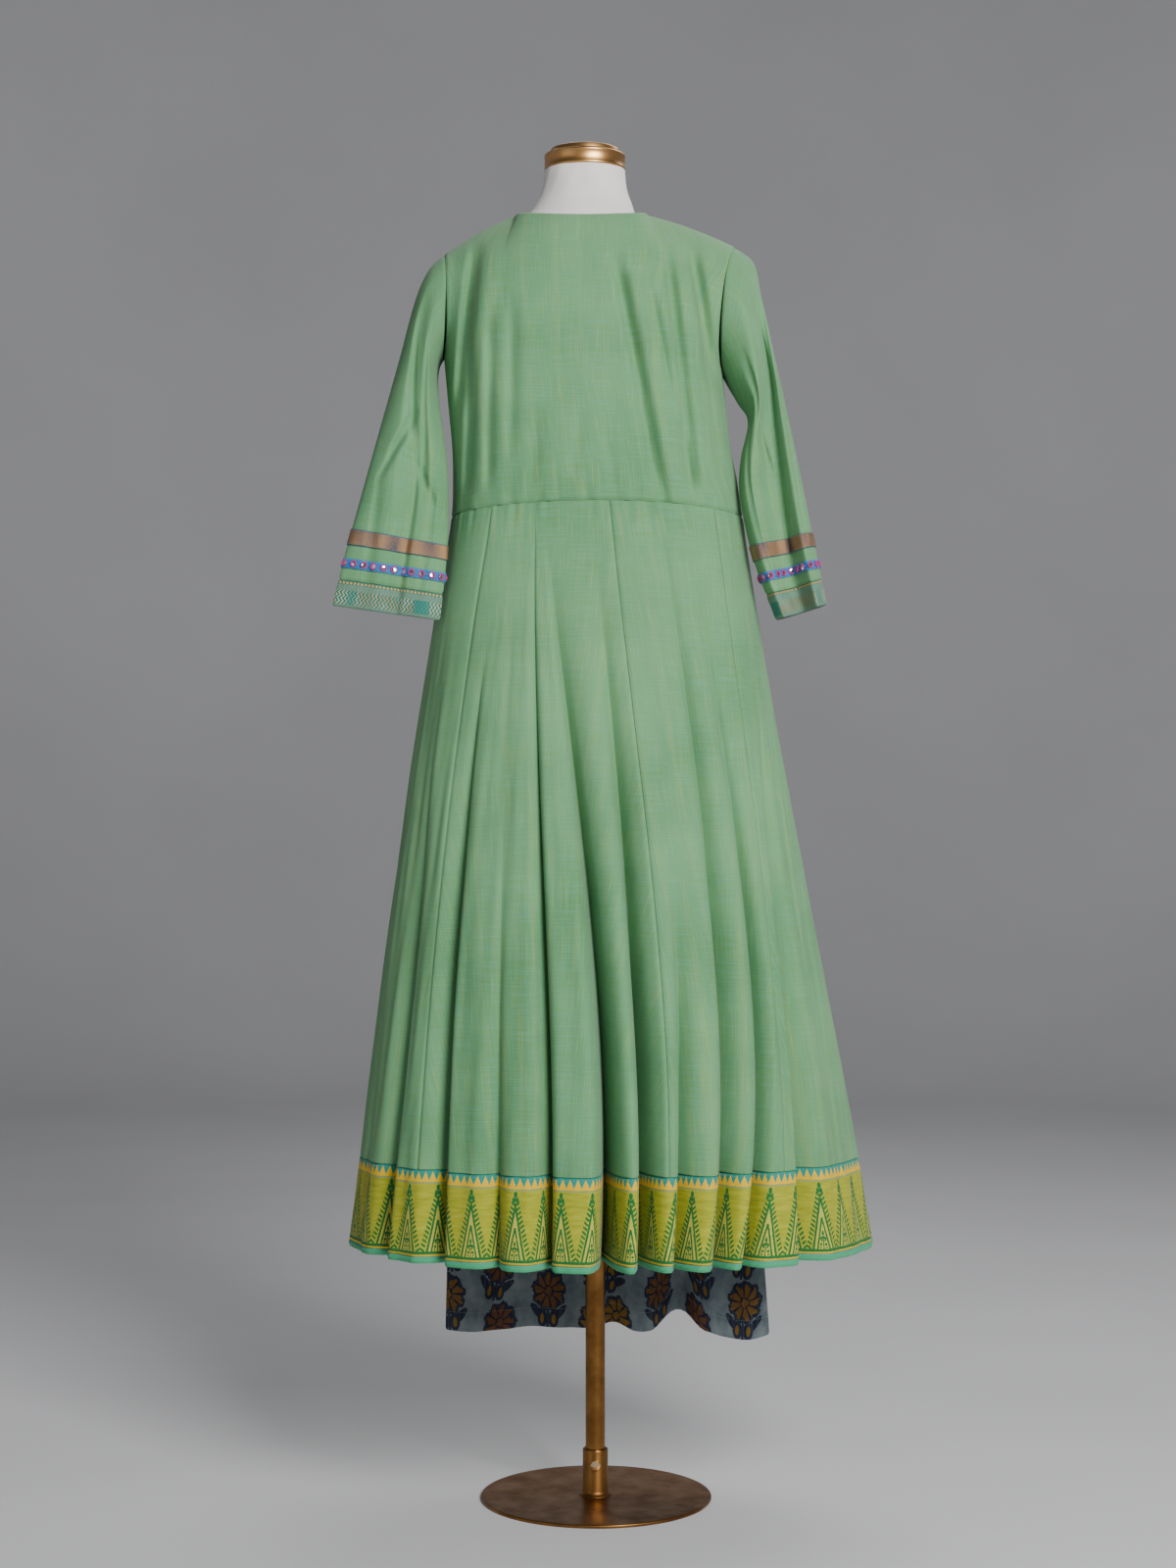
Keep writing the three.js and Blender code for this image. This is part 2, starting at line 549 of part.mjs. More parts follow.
// The torso of the form, with its neck, closed at both ends.
function addTorso() {
  const sides = 28;
  const levels = [formBottom, 890, 920, 960, 1020, 1075, 1118, 1165, 1220, 1280, 1340, 1400, 1450]
    .concat([1490, 1515, 1534, 1548, 1560, 1572, 1585, 1603, neckTop]);
  const bearings = spread(0, 360, sides).slice(0, -1);
  const points = levels.flatMap((z) => bearings.map((bearing) => formPoint(bearing, z)));
  const faces = [];
  for (let j = 0; j < levels.length - 1; j += 1) {
    for (let i = 0; i < sides; i += 1) {
      const p = j * sides + i;
      const q = j * sides + ((i + 1) % sides);
      faces.push(p, q, q + sides, p, q + sides, p + sides);
    }
  }
  for (let i = 1; i < sides - 1; i += 1) {
    const top = (levels.length - 1) * sides;
    faces.push(0, i + 1, i, top, top + i, top + i + 1);
  }
  addMesh('form_torso', closedGeometry(points, faces), finish(0xd8d2cc, 0.8));
}

function formPoint(bearing, z) {
  const row = sampleRows(formRows, 'z', z);
  const turn = rad(bearing);
  const depth = Math.cos(turn) > 0 ? row.back : row.front;
  return new THREE.Vector3(row.x + row.half * Math.sin(turn), -depth * Math.cos(turn), z);
}

// Turned pieces of the stand, from profiles of radius and height.
function turned(profile, segments = 40) {
  const geometry = new THREE.LatheGeometry(profile.map(([r, z]) => new THREE.Vector2(r, z)), segments);
  return geometry.rotateX(Math.PI / 2);
}

function solidFrom(wasm, geometry) {
  const bare = geometry.clone();
  bare.deleteAttribute('normal');
  bare.deleteAttribute('uv');
  const merged = mergeVertices(bare, 1e-3);
  return new wasm.Manifold(
    new wasm.Mesh({
      numProp: 3,
      vertProperties: merged.attributes.position.array,
      triVerts: new Uint32Array(merged.index.array),
    }),
  );
}

function geometryFrom(solid) {
  const { vertProperties, triVerts } = solid.getMesh();
  const geometry = new THREE.BufferGeometry();
  geometry.setAttribute('position', new THREE.BufferAttribute(vertProperties, 3));
  geometry.setIndex(new THREE.BufferAttribute(triVerts, 1));
  geometry.computeVertexNormals();
  return geometry;
}

// A cylinder whose axis lies along Y.
function crossRod(radius, fromY, toY, sides) {
  const rod = new THREE.CylinderGeometry(radius, radius, toY - fromY, sides);
  return rod.translate(poleX, (fromY + toY) / 2, boltLevel);
}

function addStand(wasm) {
  const baseFoot = baseThickness + seamGap;
  const collarBore = poleRadius + seamGap;
  const poleTop = formBottom - seamGap;
  const rim = [[baseRadius - 1, 0], [baseRadius, 1], [baseRadius, 3], [baseRadius - 1.2, baseThickness]];
  const disc = turned([[0, 0], ...rim, [0, baseThickness]], 48);
  const pole = turned([[0, baseFoot], [poleRadius, baseFoot], [poleRadius, poleTop], [0, poleTop]], 24);
  const foot = [[collarBore, baseFoot], [collarRadius + 5, baseFoot], [collarRadius + 2, baseFoot + 2]];
  const sleeve = [[collarRadius, baseFoot + 6], [collarRadius, collarTop - 1.5], [collarRadius - 1.2, collarTop]];
  const collar = turned([...foot, ...sleeve, [collarBore, collarTop], [collarBore, baseFoot]], 32);
  collar.translate(poleX, 0, 0);
  pole.translate(poleX, 0, 0);
  const hole = crossRod(boltHoleRadius, -30, -5, 16);
  const bored = solidFrom(wasm, collar).subtract(solidFrom(wasm, hole));
  const shank = crossRod(boltHoleRadius - seamGap, -collarRadius - 3, -poleRadius - seamGap, 16);
  const head = crossRod(6.6, -collarRadius - 5.3, -collarRadius - seamGap, 6);
  const bolt = solidFrom(wasm, shank).add(solidFrom(wasm, head));
  addMesh('base_disc', disc, bronze());
  addMesh('pole', pole, bronze());
  addMesh('base_collar', geometryFrom(bored), bronze());
  addMesh('collar_bolt', geometryFrom(bolt), finish(0xb9b2a4, 0.35, 1));
  const capFoot = neckTop + seamGap;
  const drum = [[0, 0], [capRadius, 0], [capRadius + 0.4, 1.5], [capRadius, 17.5], [capRadius - 1.5, 19]];
  const plate = [[capRadius - 6.5, 20], [capRadius - 7.5, capHeight - 1], [capRadius - 8.5, capHeight]];
  const cap = turned([...drum, ...plate, [0, capHeight]], 32).translate(capX, 0, capFoot);
  addMesh('neck_cap', cap, brass());
}

// The middle of the flattened pants at a place across and a level, and the way out from it.
function pantsMiddle(x, row) {
  const share = (x + 2) / row.wide;
  const y = row.deep * Math.sqrt(1 - share ** 2);
  const slope = (-row.deep * share) / (row.wide * Math.sqrt(1 - share ** 2));
  const outward = new THREE.Vector3(-slope, 1, 0).normalize();
  return { point: new THREE.Vector3(x, y, row.z), outward };
}

function pantsDrape(x, z) {
  const grown = smoothstep(1000 - z, 0, 1000 - pantsHem);
  const low = smoothstep(480 - z, 0, 480 - pantsHem);
  let back = 0;
  let rise = 0;
  for (const fold of pantsFolds) back += fold.depth * grown * valley(x - fold.x, fold.left, fold.right);
  for (const bump of pantsHemRises) rise += bump.rise * low * valley(x - bump.x, bump.width, bump.width);
  return { back, rise };
}

// A leg panel's outer face. across runs from the side seam at 0 to the rise and inseam at 1.
function legPoint(leg, face, across, level) {
  const row = sampleRows(pantsRows, 'z', level);
  const closed = smoothstep(crotchLevel + 25 - level, 0, 40);
  const thin = Math.asin(seamGap / 2 / row.thick);
  const turn = lerp(thin, lerp(Math.PI / 2, Math.PI - thin, closed), across);
  const last = lerp(Math.PI / 2, Math.PI - thin, closed);
  const inner = row.mid + leg * (seamGap / 2 + closed * 1.6);
  const outer = leg < 0 ? row.left : row.right;
  const x = lerp(outer, inner, (1 - Math.cos(turn)) / (1 - Math.cos(last)));
  const { point, outward } = pantsMiddle(x, row);
  const { back, rise } = pantsDrape(x, level);
  point.addScaledVector(outward, -face * row.thick * Math.sin(turn));
  point.y += back;
  point.z += rise;
  return point;
}

function addPants() {
  const across = spread(0, 1, 9);
  for (const [label, leg] of [['left', -1], ['right', 1]]) {
    for (const [side, face] of [['back', 1], ['front', -1]]) {
      const surface = (a, b) => legPoint(leg, face, a, b);
      const wall = { stepA: 0.002, stepB: 0.5, sense: leg * face, shapeNormal: level };
      addMesh(`pants_${label}_${side}`, wallGeometry(surface, across, pantsLevels, wall), printedPants());
    }
  }
  const bandSurface = (angle, z) => {
    const row = sampleRows(pantsRows, 'z', z);
    const turn = rad(angle);
    const x = lerp(row.left, row.right, (1 - Math.cos(turn)) / 2);
    const { point, outward } = pantsMiddle(x, row);
    return point.addScaledVector(outward, -row.thick * Math.sin(turn));
  };
  const band = { ring: true, stepA: 0.5, stepB: 0.5, sense: 1, shapeNormal: level };
  const angles = spread(0, 360, 36).slice(0, -1);
  const edges = [pantsTop, pantsBandBottom];
  addMesh('pants_waistband', wallGeometry(bandSurface, angles, edges, band), printedPants());
}

const wasm = await Module();
wasm.setup();
addBodice();
addSleeve(leftSleeve, 'left');
addSleeve(rightSleeve, 'right');
addSkirt();
addPants();
addTorso();
addStand(wasm);

export default part;
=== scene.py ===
import math

import bmesh
import bpy
import mathutils
import numpy as np
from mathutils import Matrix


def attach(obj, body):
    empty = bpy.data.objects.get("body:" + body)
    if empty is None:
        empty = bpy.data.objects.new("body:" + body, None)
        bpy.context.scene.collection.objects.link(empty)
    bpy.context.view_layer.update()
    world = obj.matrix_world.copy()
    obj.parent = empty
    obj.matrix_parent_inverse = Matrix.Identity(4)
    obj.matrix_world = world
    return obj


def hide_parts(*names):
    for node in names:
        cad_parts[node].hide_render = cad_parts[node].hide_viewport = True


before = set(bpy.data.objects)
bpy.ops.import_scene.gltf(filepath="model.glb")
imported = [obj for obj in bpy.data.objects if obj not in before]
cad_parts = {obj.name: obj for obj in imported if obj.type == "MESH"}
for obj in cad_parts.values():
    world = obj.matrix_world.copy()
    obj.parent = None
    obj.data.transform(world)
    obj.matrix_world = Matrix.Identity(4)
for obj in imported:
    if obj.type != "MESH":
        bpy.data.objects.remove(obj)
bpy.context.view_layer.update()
print("frame loaded:", len(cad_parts), "nodes")

# The cut is written in millimetres, as in the part's source. makeMesh turns it into metres.
metre = 0.001

clothCut = {
    "thick": 0.9,
    "seamGap": 0.3,
    "waistLevel": 1204,
    "waistRise": 12,
    "borderTop": 423,
    "bindingTop": 323,
    "hemLevel": 315,
    "neckShare": 0.5,
    "yokeRound": 2.4,
    "sleeveSetOff": 0.45,
    "seamTuck": 1.3,  # how far a seam's edges are pulled in
    "tuckReach": 2.1,  # how far from the edge the pull still shows
    "bindingThick": 1.7,
    "bindingLift": 1.3,
    "formGap": 1.6,  # how far the cloth keeps off the form
}
edgeRows = np.array([0, 0.8, 1.8, 3.2])  # rows of points close to a seam


def table(columns, rows):
    names = columns.split()
    return {name: np.array([row[i] for row in rows]) for i, name in enumerate(names)}


# Half-breadths and depths of the kurti's body, from under the arm down to the hem.
bodyRows = table("z left right back front square", [
    (1412, 187, 151, 104, 118, 0.36),
    (1345, 181, 158, 105, 124, 0.36),
    (1290, 176, 164, 105, 123, 0.36),
    (1250, 175, 172, 104, 118, 0.36),
    (1204, 177, 179, 103, 112, 0.35),
    (1070, 200, 200, 120, 128, 0.28),
    (901, 226, 229, 146, 152, 0.15),
    (708, 252, 266, 173, 178, 0.05),
    (516, 277, 304, 200, 204, 0),
    (315, 302, 339, 228, 232, 0),
])

# Folds of the skirt, by their bearings at hem, middle and waist in degrees from the centre back towards +X.
skirtFolds = table("hem middle waist depth left right lean start", [
    (-59.5, -60, -62, 34, 6.5, 4, 0.3, 900),
    (-40.8, -43, -36, 46, 6.5, 3.6, 0.35, 1020),
    (-26, -28, -30, 16, 5, 5, 0, 900),
    (-14.6, -16.8, -24.6, 30, 4, 3, 0.15, 1190),
    (-0.7, -3.2, -21.7, 64, 4.6, 4.2, -0.1, 1150),
    (7.4, 8, -2.4, 58, 3.4, 3.6, -0.15, 1130),
    (15, 20, 12, 32, 3.4, 4, -0.3, 830),
    (24, 33, 23.4, 34, 4.2, 2.7, -0.2, 1190),
    (29.6, 44, 32, 28, 2.7, 5, 0, 1190),
    (46.5, 57, 73, 48, 4, 7, -0.35, 960),
    (99, 101, 104, 36, 4, 6, -0.25, 900),
    (115, 116, 118, 24, 5, 4, 0.1, 780),
    (129, 127, 123, 50, 4, 5, -0.2, 980),
    (143, 142, 140, 28, 5, 4, 0.2, 760),
    (156, 153, 147, 58, 4.2, 4.6, 0.1, 1040),
    (167.5, 166, 163, 36, 4, 4.4, -0.2, 840),
    (181, 182, 184, 30, 4.6, 4, 0.15, 920),
    (194, 197, 203, 60, 4.4, 4.2, -0.1, 1060),
    (207, 208, 210, 26, 5, 5, 0, 760),
    (221, 222, 226, 46, 4, 5, -0.25, 960),
    (237, 236, 232, 30, 6, 4, 0.2, 820),
    (253, 251, 247, 42, 4.4, 5, -0.2, 920),
    (265, 264, 263, 22, 4, 5, 0, 720),
])

skirtPanels = table("name from to", [
    ("skirt_side_back_left", -88, -47.5),
    ("skirt_back_left", -47.5, 11.1),
    ("skirt_back_right", 11.1, 38),
    ("skirt_side_back_right", 38, 90),
    ("skirt_side_front_right", 90, 136),
    ("skirt_front_right", 136, 174.4),
    ("skirt_front_left", 174.4, 214),
    ("skirt_side_front_left", 214, 272),
])

# Rows down each sleeve: outer and inner edge, depth, armhole scoop and the long fold of the back layer.
leftSleeve = {
    "side": -1,
    "foldToOuter": 26,
    "foldToInner": 30,
    "rows": table("down outX outZ inX inZ y deep scoop foldAt fold", [
        (0, -187, 1526, -187.2, 1401.4, 0, 62, 6, 70, 0),
        (19, -204, 1508, -193, 1388, -5, 61, 3, 72, 3),
        (48, -219, 1474, -193.5, 1366, -10, 58, 0, 76, 8),
        (109, -240, 1395, -189, 1325, -20, 50, 0, 84, 9),
        (179, -262, 1312, -180.5, 1268, -33, 37, 0, 92, 6),
        (251, -283, 1232, -178, 1205, -46, 25, 0, 96, 5),
        (314, -300, 1166, -180.5, 1147, -57, 15, 0, 98, 5),
        (388, -318, 1092, -188, 1074, -66, 9, 0, 98, 4),
    ]),
    "waves": [(0.9, 0.052, 0.021, 0.6), (0.6, 0.09, -0.034, 2.2)],
    "creases": [
        (104, 40, 112, 240, 4.5, 10),
        (62, 60, 92, 190, 3.6, 13),
        (88, 140, 56, 205, 4.6, 12),
        (76, 168, 44, 236, 4.0, 9),
        (96, 196, 132, 250, 3.2, 11),
        (101, 205, 99, 400, 3.6, 6),
        (128, 190, 122, 372, 2.4, 9),
        (48, 230, 62, 372, 2.8, 11),
        (250, 60, 266, 330, 4.5, 13),
        (292, 120, 280, 260, 3.6, 12),
        (262, 200, 262, 400, 3.4, 7),
    ],
}

rightSleeve = {
    "side": 1,
    "foldToOuter": 34,
    "foldToInner": 52,
    "rows": table("down outX outZ inX inZ y deep scoop foldAt fold", [
        (0, 172, 1535, 155.6, 1383, 0, 64, 12, 34, 0),
        (23, 193, 1516, 162, 1366, -5, 63, 6, 38, 8),
        (55, 201, 1476, 173, 1344, -11, 59, 0, 48, 15),
        (107, 217, 1400, 185, 1320, -21, 50, 0, 66, 22),
        (172, 233, 1325, 175.5, 1272, -31, 43, 0, 76, 27),
        (235, 250, 1240, 174, 1226, -40, 38, 0, 82, 31),
        (311, 264, 1168, 190, 1150, -46, 34, 0, 86, 33),
        (389, 279, 1094, 217, 1075, -50, 32, 0, 88, 34),
    ]),
    "waves": [(0.9, 0.049, 0.019, 2.4), (0.6, 0.083, -0.03, 0.9)],
    "creases": [
        (50, 20, 78, 330, 4.5, 9),
        (112, 40, 118, 150, 4.0, 12),
        (28, 90, 40, 300, 3.0, 10),
        (140, 110, 128, 380, 2.8, 10),
        (104, 150, 84, 215, 4.2, 11),
        (244, 60, 262, 330, 4.5, 14),
        (286, 110, 296, 250, 3.6, 12),
    ],
}

necklines = {
    "back": {"drop": 10, "deep": 55, "bulge": 5, "shoulderBow": 4},
    "front": {"drop": 96, "deep": 98, "bulge": 4, "shoulderBow": 4},
}

# Where the shoulder seams meet the neck.
neckEnds = {"left": (-97, -3, 1576), "right": (62, -3, 1576)}

# Creases of the bodice: from x and z, to x and z, depth, half-width.
backCreases = [
    (21, 1505, 82, 1190, 11, 13),
    (82, 1515, 117, 1218, 9, 12),
    (112, 1530, 136, 1370, 12, 13),
    (96, 1310, 113, 1212, 6, 9),
    (44, 1345, 66, 1225, 4.5, 9),
    (-148, 1530, -168, 1330, 11, 14),
    (-150, 1400, -158, 1215, 6, 11),
    (-128, 1450, -131, 1225, 4.5, 10),
    (-102, 1450, -104, 1270, 3.4, 11),
    (60, 1480, 92, 1330, 4, 8),
    (-20, 1330, -34, 1208, 1.8, 12),
    (12, 1300, 22, 1208, 1.8, 10),
    (-72, 1320, -80, 1208, 2.2, 12),
]
frontCreases = [
    (-60, 1440, -104, 1215, 6, 15),
    (26, 1430, 70, 1215, 5.5, 13),
    (112, 1500, 122, 1330, 6, 14),
    (-150, 1500, -158, 1320, 6, 15),
    (-16, 1380, -22, 1208, 3, 12),
    (92, 1400, 118, 1225, 3.6, 11),
    (-118, 1380, -124, 1225, 3.2, 11),
]
bodiceWaves = [(0.7, 0.034, 0.011, 0.7), (0.45, 0.071, -0.019, 2.6), (0.3, 0.117, 0.027, 4.1)]

# Pants, from the waistband down to the hem.
pantsRows = table("z wide deep left right thick mid", [
    (1125, 127, 87.7, -119, 115, 2.4, -2),
    (1095, 132, 92.3, -123, 119, 2.6, -2),
    (1040, 156, 106, -136, 134, 3.4, -1),
    (950, 176, 117, -158, 158, 5, 0),
    (880, 190, 115, -164, 166, 6.5, 1),
    (780, 240, 108, -171, 174, 8, 1),
    (600, 320, 103, -178, 189, 9, 1),
    (400, 420, 98, -184, 203, 9, 1),
    (190, 520, 94, -189, 218, 9, 1),
])

pantsFolds = table("x depth left right", [
    (-128, 9, 28, 24),
    (-52, -9, 30, 26),
    (46, -8, 24, 30),
    (112, 17, 46, 15),
    (172, 7, 22, 22),
])

pantsHemRises = table("x rise width", [
    (-150, -4, 60),
    (-70, 4, 60),
    (22, 8, 26),
    (62, -3, 24),
    (104, 22, 34),
    (185, -14, 60),
])

pantsWaves = [(0.5, 0.061, 0.012, 1.0), (0.35, 0.11, -0.021, 3.0)]

# The dress form, from the hip up to the neck.
formRows = table("z x half back front", [
    (880, -1, 140, 84, 88),
    (890, -1, 152, 92, 96),
    (950, -1, 163, 104, 106),
    (1040, -2, 147, 96, 98),
    (1118, -3, 121, 80, 84),
    (1200, -5, 128, 82, 92),
    (1290, -7, 143, 90, 110),
    (1370, -9, 148, 94, 110),
    (1440, -11, 150, 92, 88),
    (1500, -13, 149, 74, 62),
    (1535, -15.5, 135, 58, 50),
    (1555, -17, 107.3, 49, 40),
    (1570.5, -17.7, 75.6, 45.5, 38),
    (1590, -15, 59, 46, 45),
    (1610, -14, 51.5, 48, 48),
    (1630.7, -14, 49.4, 48, 48),
])

neckWaves = [(0.25, 0.12, 0.05, 0.4), (0.2, 0.26, -0.11, 1.9)]


def sampleRows(rows, key, at):
    at = np.asarray(at, float)
    keys = rows[key]
    last = len(keys) - 1
    sense = np.sign(keys[last] - keys[0])
    i = np.clip(np.searchsorted(keys * sense, at * sense, side="right") - 1, 0, last - 1)
    before, after = np.maximum(i - 1, 0), np.minimum(i + 2, last)
    span = keys[i + 1] - keys[i]
    t = np.clip((at - keys[i]) / span, 0, 1)
    values = {}
    for name, column in rows.items():
        start, end = column[i], column[i + 1]
        slopeStart = (end - column[before]) / (keys[i + 1] - keys[before]) * span
        slopeEnd = (column[after] - start) / (keys[after] - keys[i]) * span
        values[name] = (
            start * (2 * t**3 - 3 * t**2 + 1)
            + slopeStart * (t**3 - 2 * t**2 + t)
            + end * (3 * t**2 - 2 * t**3)
            + slopeEnd * (t**3 - t**2)
        )
    return values


def valley(offset, left, right):
    share = np.where(offset < 0, offset / left, offset / right)
    return np.where(np.abs(share) < 1, (1 - np.minimum(share**2, 1)) ** 2, 0)


def smoothstep(value, low, high):
    t = np.clip((value - low) / (high - low), 0, 1)
    return t * t * (3 - 2 * t)


def unit(vectors):
    return vectors / np.maximum(np.linalg.norm(vectors, axis=-1, keepdims=True), 1e-9)


def points(x, y, z):
    return np.stack(np.broadcast_arrays(x, y, z), axis=-1).astype(float)


# Low waves that keep the cloth from looking pressed: amplitude, turns per unit of a and b, phase.
def softWaves(a, b, waves):
    total = 0
    for size, alongA, alongB, phase in waves:
        total = total + size * np.sin(alongA * a + alongB * b + phase)
    return total


def creaseDepth(a, b, creases):
    depth = np.zeros(np.broadcast(a, b).shape)
    for fromA, fromB, toA, toB, deep, wide in creases:
        run = np.clip((b - fromB) / (toB - fromB), 0, 1)
        fade = min(40, 0.35 * abs(toB - fromB))
        low, high = min(fromB, toB), max(fromB, toB)
        ends = smoothstep(b, low - fade / 2, low + fade) * (1 - smoothstep(b, high - fade, high + fade / 2))
        offset = a - (fromA + (toA - fromA) * run)
        ridge = 0.35 * valley(offset - 1.5 * wide, 1.2 * wide, 1.6 * wide)
        depth = depth + deep * ends * (valley(offset, 0.6 * wide, 1.25 * wide) - ridge)
    return depth


# The kurti's body and skirt

def bodyPoint(bearing, z):
    row = sampleRows(bodyRows, "z", z)
    turn = np.radians(bearing)
    deep = np.where(np.cos(turn) > 0, row["back"], row["front"])
    x = (row["right"] - row["left"]) / 2 + (row["right"] + row["left"]) / 2 * np.sin(turn)
    return points(x, -deep * np.cos(turn) * (1 + row["square"] * np.sin(turn) ** 2), z)


def waistSeam(bearing):
    return clothCut["waistLevel"] + clothCut["waistRise"] * np.cos(np.radians(bearing)) ** 2


def skirtBearing(hem, fall):
    hems = np.append(skirtFolds["hem"], skirtFolds["hem"][0] + 360)
    waists = np.append(skirtFolds["waist"], skirtFolds["waist"][0] + 360)
    middles = np.append(skirtFolds["middle"], skirtFolds["middle"][0] + 360)
    turn = np.floor((hem - hems[0]) / 360) * 360
    place = hem - turn
    i = np.clip(np.searchsorted(hems, place, side="right") - 1, 0, len(hems) - 2)
    share = (place - hems[i]) / (hems[i + 1] - hems[i])
    waist = waists[i] + (waists[i + 1] - waists[i]) * share
    middle = middles[i] + (middles[i + 1] - middles[i]) * share
    swing = waist * (1 - fall) * (1 - 2 * fall) + middle * 4 * fall * (1 - fall)
    return turn + swing + place * fall * (2 * fall - 1)


skirtWaves = [
    (1.1, 0.31, 0.006, 0.4),
    (0.8, 0.52, -0.009, 2.1),
    (0.5, 0.93, 0.013, 4.4),
    (0.35, 1.37, -0.017, 1.2),
]


def skirtPoint(hem, level):
    drop = clothCut["waistLevel"] - clothCut["hemLevel"]
    fall = np.clip((clothCut["waistLevel"] - level) / drop, 0, 1)
    bearing = skirtBearing(hem, fall)
    point = bodyPoint(bearing, level)
    along = bodyPoint(bearing + 0.5, level) - bodyPoint(bearing - 0.5, level)
    outward = unit(points(along[..., 1], -along[..., 0], 0 * fall))
    sideways = points(-outward[..., 1], outward[..., 0], 0 * fall)
    for hemAt, depth, left, right, lean, start in zip(
        *(skirtFolds[name] for name in ("hem", "depth", "left", "right", "lean", "start"))
    ):
        offset = np.mod(hem - hemAt + 180, 360) - 180
        growth = np.clip((start - level) / (start - clothCut["hemLevel"]), 0, 1) ** 1.3
        share = np.minimum(np.abs(np.where(offset < 0, offset / left, offset / right)), 1)
        atBack = smoothstep(math.cos(math.radians(hemAt)), 0.1, 0.6)
        slot = 0.5 * atBack * growth * (1 - np.minimum(share * 2.2, 1) ** 1.5) ** 2
        push = (depth * ((growth + 0.06 * growth**0.4) * (1 - share**1.25) ** 2 + slot))[..., None]
        point += -push * outward + push * lean * sideways
    grown = smoothstep(fall, 0.04, 0.5)
    ripple = grown * softWaves(hem, level, skirtWaves)
    nearWaist = np.exp(-(((clothCut["waistLevel"] - level) / 26) ** 2))
    gathers = nearWaist * (0.5 * np.sin(bearing * 0.83 + 1.1) + 0.35 * np.sin(bearing * 1.37 + 0.4))
    point += (ripple + gathers - 0.4)[..., None] * outward
    skirtHeight = clothCut["waistLevel"] - clothCut["borderTop"]
    above = np.clip((level - clothCut["borderTop"]) / skirtHeight, 0, 1)
    point[..., 2] += (waistSeam(bearing) - clothCut["waistLevel"]) * above
    return point


# Sleeves: the angle starts at the outer edge and turns round the back to the inner edge.

def sleevePoint(sleeve, angle, down, soft=True):
    row = sampleRows(sleeve["rows"], "down", down)
    turn = np.radians(angle)
    cosine, sine = np.cos(turn), np.sin(turn)
    offset = np.mod(angle - row["foldAt"] + 180, 360) - 180
    fold = row["fold"] * valley(offset, sleeve["foldToOuter"], sleeve["foldToInner"])
    outer = (1 + cosine) / 2
    x = row["inX"] + (row["outX"] - row["inX"]) * outer - sleeve["side"] * row["scoop"] * np.abs(sine)
    z = row["inZ"] + (row["outZ"] - row["inZ"]) * outer
    y = row["y"] - row["deep"] * sine + fold
    if soft:
        grown = smoothstep(down, 8, 60)
        wave = softWaves(angle, down, sleeve["waves"]) - creaseDepth(angle, down, sleeve["creases"])
        y = y - np.sign(sine) * np.abs(sine) ** 0.5 * grown * wave
    return points(x, y, z)


def setSleevePoint(sleeve, lift=0):
    def surface(angle, down):
        point = sleevePoint(sleeve, angle, down)
        point[..., 0] += sleeve["side"] * clothCut["sleeveSetOff"]
        if lift:
            around = sleevePoint(sleeve, angle + 1, down) - sleevePoint(sleeve, angle - 1, down)
            along = sleevePoint(sleeve, angle, down + 1) - sleevePoint(sleeve, angle, down - 1)
            point += unit(np.cross(around, along)) * lift * sleeve["side"]
        return point

    return surface


# Bodice: across from -1 to 1, up from the waist at 0, past the underarm at 1, to the shoulder at 2.

def topEdge(across, neckline, face):
    left = sleevePoint(leftSleeve, 0, 0, False)
    right = sleevePoint(rightSleeve, 0, 0, False)
    neckLeft, neckRight = np.array(neckEnds["left"]), np.array(neckEnds["right"])
    share = np.clip((1 - np.abs(across)) / (1 - clothCut["neckShare"]), 0, 1)[..., None]
    leftShoulder = left + (neckLeft - left) * share
    rightShoulder = right + (neckRight - right) * share
    shoulder = np.where(across[..., None] < 0, leftShoulder, rightShoulder)
    shoulder[..., 2] += neckline["shoulderBow"] * np.sin(np.pi * share[..., 0])
    turn = np.clip(across / clothCut["neckShare"], -1, 1) * np.pi / 2
    neck = neckLeft + (neckRight - neckLeft) * ((1 + np.sin(turn)) / 2)[..., None]
    dip = np.maximum(np.cos(turn), 0)
    neck[..., 1] -= face * neckline["deep"] * dip**0.8
    neck[..., 2] -= neckline["drop"] * dip**1.5
    return np.where(np.abs(across)[..., None] >= clothCut["neckShare"], shoulder, neck)


